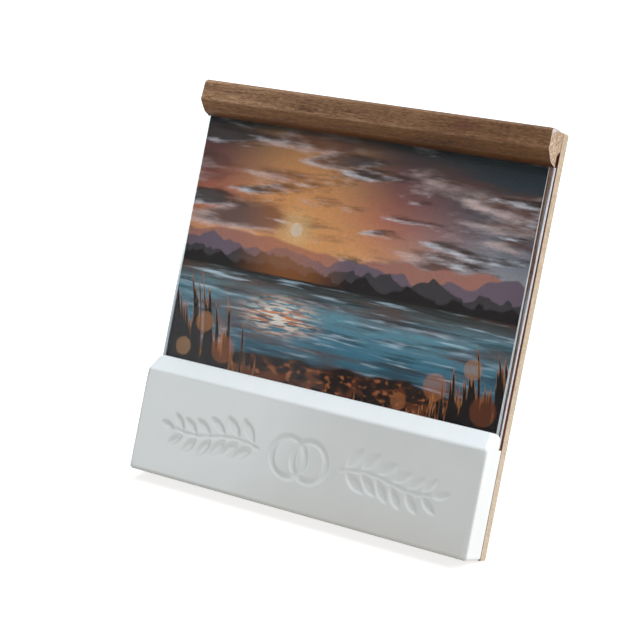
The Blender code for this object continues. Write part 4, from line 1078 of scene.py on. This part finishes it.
# %% [markdown]
# ## Back board and strut
#
# Both are cut from the same fibreboard. The imported model keeps 0.3 mm of glue between the board
# and the foil on its face. Here the board grows forwards until the two meet. The foil's rim is dark
# brown, painted darker still below 149 mm as shade beside the sleeve, and shows as a thin line
# beside the raw edge. The saw left the board a fraction too tall.

# %% Back board and strut
FOIL_BACK, SAWN_OVER, BOARD_TOP = 0.42, 0.4, 155.0


def meet_foil(x, y, z):
    """A point of the board or of its foil, moved so that the two meet and reach higher."""
    return x, FOIL_BACK if 0.3 < y < 0.75 else y, z + SAWN_OVER if z > BOARD_TOP else z


def edge_or_face(direction, middle):
    """0 for a sawn edge and 1 for a broad face."""
    return int(abs(direction.y) > 0.9)


raw_board = [sawn_edge, pressed_face]
refine("back_board", "back_board_core", raw_board, "frame", meet_foil, choose=edge_or_face)
refine(
    "board_front_foil", "board_walnut_foil", [board_walnut, dark_rim_and_shade], "frame", meet_foil,
    choose=lambda direction, middle: int(abs(direction.y) < 0.5),
)
refine("easel_strut", "strut_board", raw_board, "strut", softness=0.25, choose=edge_or_face)

# %% [markdown]
# ## Sleeve, print and card
#
# The sleeve's broad faces are clear. A narrow strip of the rear sheet at the right, beside the cut,
# carries a painted highlight, and at the left the front sheet has a margin of painted grey shade
# that widens downwards. So its faces are split there, and each strip takes its own finish as far as
# the rail leaves it in view. The top edges and the fold carry the painted highlight too, which
# shows once the sleeve is slid out.
#
# The print's front carries the picture, and its back and edges are white. The card behind it
# isn't cut quite square, and shows as a thin white line beside the print, widest at the bottom.

# %% Sleeve, print and card
MARGIN, RIGHT_HIGHLIGHT, DUST, ROUNDED, FOOT_CUT = 0.75, 0.28, 1.4, 0.2, 0.5
POCKET_MIDDLE, REAR_SHEET_FRONT, RAIL_LIP = -0.93, -0.55, 143.4
sleeve_low, sleeve_high = box_on_board("clear_sleeve")
slant = FOOT_CUT / (sleeve_high[2] - sleeve_low[2])


def draw_in_foot(x, y, z):
    """A point of the sleeve, whose right end was cut half a millimetre short at the bottom."""
    return (x - slant * (sleeve_high[2] - z) if x > 0 else x, y, z)


sleeve = welded_copy("clear_sleeve", "clear_folded_sleeve", draw_in_foot)
shape = bmesh.new()
shape.from_mesh(sleeve)
for x, z, normal in (
    (sleeve_low[0] + MARGIN, sleeve_high[2], (1.0, 0.0, slant)),
    (sleeve_high[0] - RIGHT_HIGHLIGHT, sleeve_high[2], (-1.0, 0.0, slant)),
    (sleeve_high[0] - DUST, sleeve_high[2], (-1.0, 0.0, slant)), (0.0, RAIL_LIP, (0.0, 0.0, 1.0)),
):
    bmesh.ops.bisect_plane(
        shape, geom=[*shape.verts, *shape.edges, *shape.faces],
        plane_co=LEAN_BACK @ Vector((x, 0.0, z)),
        plane_no=LEAN_BACK.to_3x3().normalized() @ Vector(normal),
    )
for vertex in shape.verts:
    x, y, z = STAND_UP @ vertex.co
    if x > sleeve_high[0] - 0.6 and abs(y - REAR_SHEET_FRONT) < 0.02:
        outermost = draw_in_foot(sleeve_high[0], y, z)[0]
        if x > outermost - 0.02:
            vertex.co = LEAN_BACK @ Vector((x, y + ROUNDED, z))
shape.to_mesh(sleeve)
shape.free()


def cut_or_clear(direction, middle):
    """1 for a painted highlight on a cut edge, the strip beside it and the fold, 2 for the left
    margin's painted shade and the right margin's dust, 0 for the clear sheet.
    """
    if direction.z > 0.8 or middle.z < sleeve_low[2] + 0.5:
        return 1
    if middle.z > RAIL_LIP:
        return 0
    foot = slant * (sleeve_high[2] - middle.z)
    if middle.y > POCKET_MIDDLE:
        from_right = sleeve_high[0] - foot - middle.x
        return 1 if from_right < RIGHT_HIGHLIGHT else 2 if from_right < DUST else 0
    return 2 if middle.x < sleeve_low[0] + MARGIN + foot else 0


put_in_place(
    sleeve, [clear_sheet, cut_edge_highlight, shaded_and_dusty_margin], "sleeve", ["clear_sleeve"],
    choose=cut_or_clear,
)
refine(
    "photo_print", "lake_picture_print", [print_face, white_card], "print",
    choose=lambda direction, middle: int(direction.y > -0.9),
)
CARD_SHORT, CARD_TAPER = 0.45, 0.35
card_low, card_high = box_on_board("backing_card")


def narrow_top(x, y, z):
    """A point of the card, drawn in at the right by 0.45 mm at the bottom and 0.8 at the top."""
    share = (z - card_low[2]) / (card_high[2] - card_low[2])
    return (x - CARD_SHORT - CARD_TAPER * share if x > 0 else x, y, z)


refine("backing_card", "white_backing_card", [white_card], "print", narrow_top)

# %% [markdown]
# ## Hinge and fittings
#
# The hinge is stamped and rolled, and the screws and rivets are headed from wire. All of them
# have slightly rounded edges, which is what makes small metal parts look real.

# %% Hinge and fittings
for node, name, body, finish, softness in (
    ("hinge_board_leaf", "hinge_leaf_on_board", "frame", bright_zinc, 0.08),
    ("hinge_pin", "hinge_pin_turned", "frame", bright_zinc, 0.10),
    ("hinge_screw_left", "pan_head_screw_left", "frame", bright_zinc, 0.06),
    ("hinge_screw_right", "pan_head_screw_right", "frame", bright_zinc, 0.06),
    ("rail_screw_left", "countersunk_screw_left", "frame", yellow_zinc, 0.06),
    ("rail_screw_right", "countersunk_screw_right", "frame", yellow_zinc, 0.06),
    ("hinge_strut_leaf", "hinge_leaf_on_strut", "strut", bright_zinc, 0.08),
    ("strut_rivet_upper", "domed_rivet_upper", "strut", bright_zinc, 0.06),
    ("strut_rivet_lower", "domed_rivet_lower", "strut", bright_zinc, 0.06),
):
    refine(node, name, [finish], body, softness=softness)
for pad in ("tape_pad_left", "tape_pad_right"):
    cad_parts[pad].material_slots[0].material = foam_tape

# %% [markdown]
# ## Camera
#
# The camera stands to the right of the display and a little above it, a long lens that keeps
# the sides nearly parallel. Its place was solved from the corners of the object, so the same
# corners land on the same spots of the picture.

# %% Camera
camera_data = bpy.data.cameras.new("photo_camera")
camera_data.lens = 110.72
camera_data.sensor_width = 36.0
camera_data.clip_start, camera_data.clip_end = 0.05, 20.0
camera = add_object("photo_camera", camera_data)
right = Vector((0.82342, 0.56743, 0.0006))
top = Vector((-0.17666, 0.25536, 0.95057))
ahead = Vector((-0.53924, 0.78282, -0.31050))
turned = Matrix((right, top, -ahead)).transposed().to_4x4()
nudged = Matrix.Rotation(-0.00018, 4, "Y") @ Matrix.Rotation(0.00013, 4, "X")
camera.matrix_world = Matrix.Translation((0.39635, -0.58893, 0.30331)) @ turned @ nudged
bpy.context.scene.camera = camera
print("camera", round(camera.location.length, 3), "m from the display's middle")

# %% [markdown]
# ## Studio table
#
# A pale matt table carries the display. The background is white because camera rays, reflections
# and rays through the clear sheet see white there, and not because more light falls on the
# display. The table is lifted towards white more and more with distance, so that it keeps the
# shadow near the display.

# %% Table
BACKGROUND_RAYS = ("Camera", "Glossy", "Transmission")
TABLE_LIFT, TABLE_HALF = 0.80, 4.0
table_finish, tree, shader = new_finish("pale_studio_table")
on_table = add_node(tree, "TexCoord").outputs["Object"]
table_tone = two_tones(tree, on_table, 40.0, 2.0, "#BAB5AD", "#C0BBB3")
fill_sockets(tree, shader, {"Base Color": table_tone, "Roughness": 0.9, "Specular IOR Level": 0.0})
far_off = add_node(tree, "VectorMath:LENGTH", (on_table,))
lifted = add_node(tree, "MapRange", (far_off.outputs["Value"], 0.3, 1.5, TABLE_LIFT, 1.0))
lift = add_node(tree, "Math:MULTIPLY", (any_ray(tree, *BACKGROUND_RAYS), lifted))
white = add_node(tree, "Emission", {"Color": "#FFFFFF", "Strength": lift})
both = add_node(tree, "AddShader", (shader, white))
fill_sockets(tree, tree.nodes["Material Output"], {"Surface": both})

table_mesh = bpy.data.meshes.new("studio_table")
corners = ((-1, -1), (1, -1), (1, 1), (-1, 1))
table_mesh.from_pydata([(x * TABLE_HALF, y * TABLE_HALF, 0.0) for x, y in corners], [], [range(4)])
table_mesh.materials.append(table_finish)
table = add_object("studio_table", table_mesh)
table.location = (0.0, 0.0, -0.0001)
table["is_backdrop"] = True
print("table", 2 * TABLE_HALF, "m wide, lifted by", TABLE_LIFT, "for the rays that look at it")

# %% [markdown]
# ## Room and lamps
#
# Around the table stand a dim pale room, a large lamp high on the right, a cool skylight above
# and a small window on the left. The lamp makes the right end of the block the brightest face,
# the skylight makes the bevel bluish, and the window lays a faint sheen over the left of the
# glaze and of the rail.

# %% Room, lamp and window
ROOM_LIGHT = 0.185
room = bpy.data.worlds.new("pale_room")
bpy.context.scene.world = room
room.use_nodes = True
tree = room.node_tree
seen = any_ray(tree, *BACKGROUND_RAYS)
level = add_node(tree, "MapRange", (seen, 0.0, 1.0, ROOM_LIGHT, 1.0))
walls = add_node(tree, "Mix", (seen, "#FFF9F0", "#FFFFFF"))
fill_sockets(tree, tree.nodes["Background"], {"Color": walls, "Strength": level})


def hang_lamp(name, target, direction, distance, size, light, colour):
    """A round lamp that gives a face turned to it the share of full light that light says."""
    data = bpy.data.lights.new(name, "AREA")
    data.shape = "DISK"
    data.size = size
    data.energy = light * math.pi**2 * distance**2
    data.color = colour
    lamp = add_object(name, data)
    heading = Vector(direction).normalized()
    lamp.location = Vector(target) + heading * distance
    lamp.rotation_mode = "QUATERNION"
    lamp.rotation_quaternion = heading.to_track_quat("Z", "Y")
    print(name, round(data.energy, 2), "W")


MIDDLE = (0.0, 0.0, 0.07)
hang_lamp("right_lamp", MIDDLE, (0.76, 0.0, 0.65), 2.5, 1.7, 1.025, (1.0, 1.0, 1.06))
hang_lamp("skylight", MIDDLE, (0.0, 0.3, 0.954), 1.5, 1.1, 0.84, (0.78, 1.03, 1.22))
hang_lamp(
    "left_window", (-0.06, -0.023, 0.038), (-0.589, -0.784, 0.194), 0.55, 0.17, 0.06,
    (0.92, 1.0, 1.06),
)
bpy.context.scene.view_settings.view_transform = "Standard"

# %% [markdown]
# ## Sizes
#
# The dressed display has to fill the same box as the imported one. Both boxes are written down
# so that they can be compared.

# %% Compare the sizes
dressed_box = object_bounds()
for label, (low, high) in (("packed", cad_box), ("dressed", dressed_box)):
    print(label, [round((b - a) / MM, 2) for a, b in zip(low, high)], "mm")
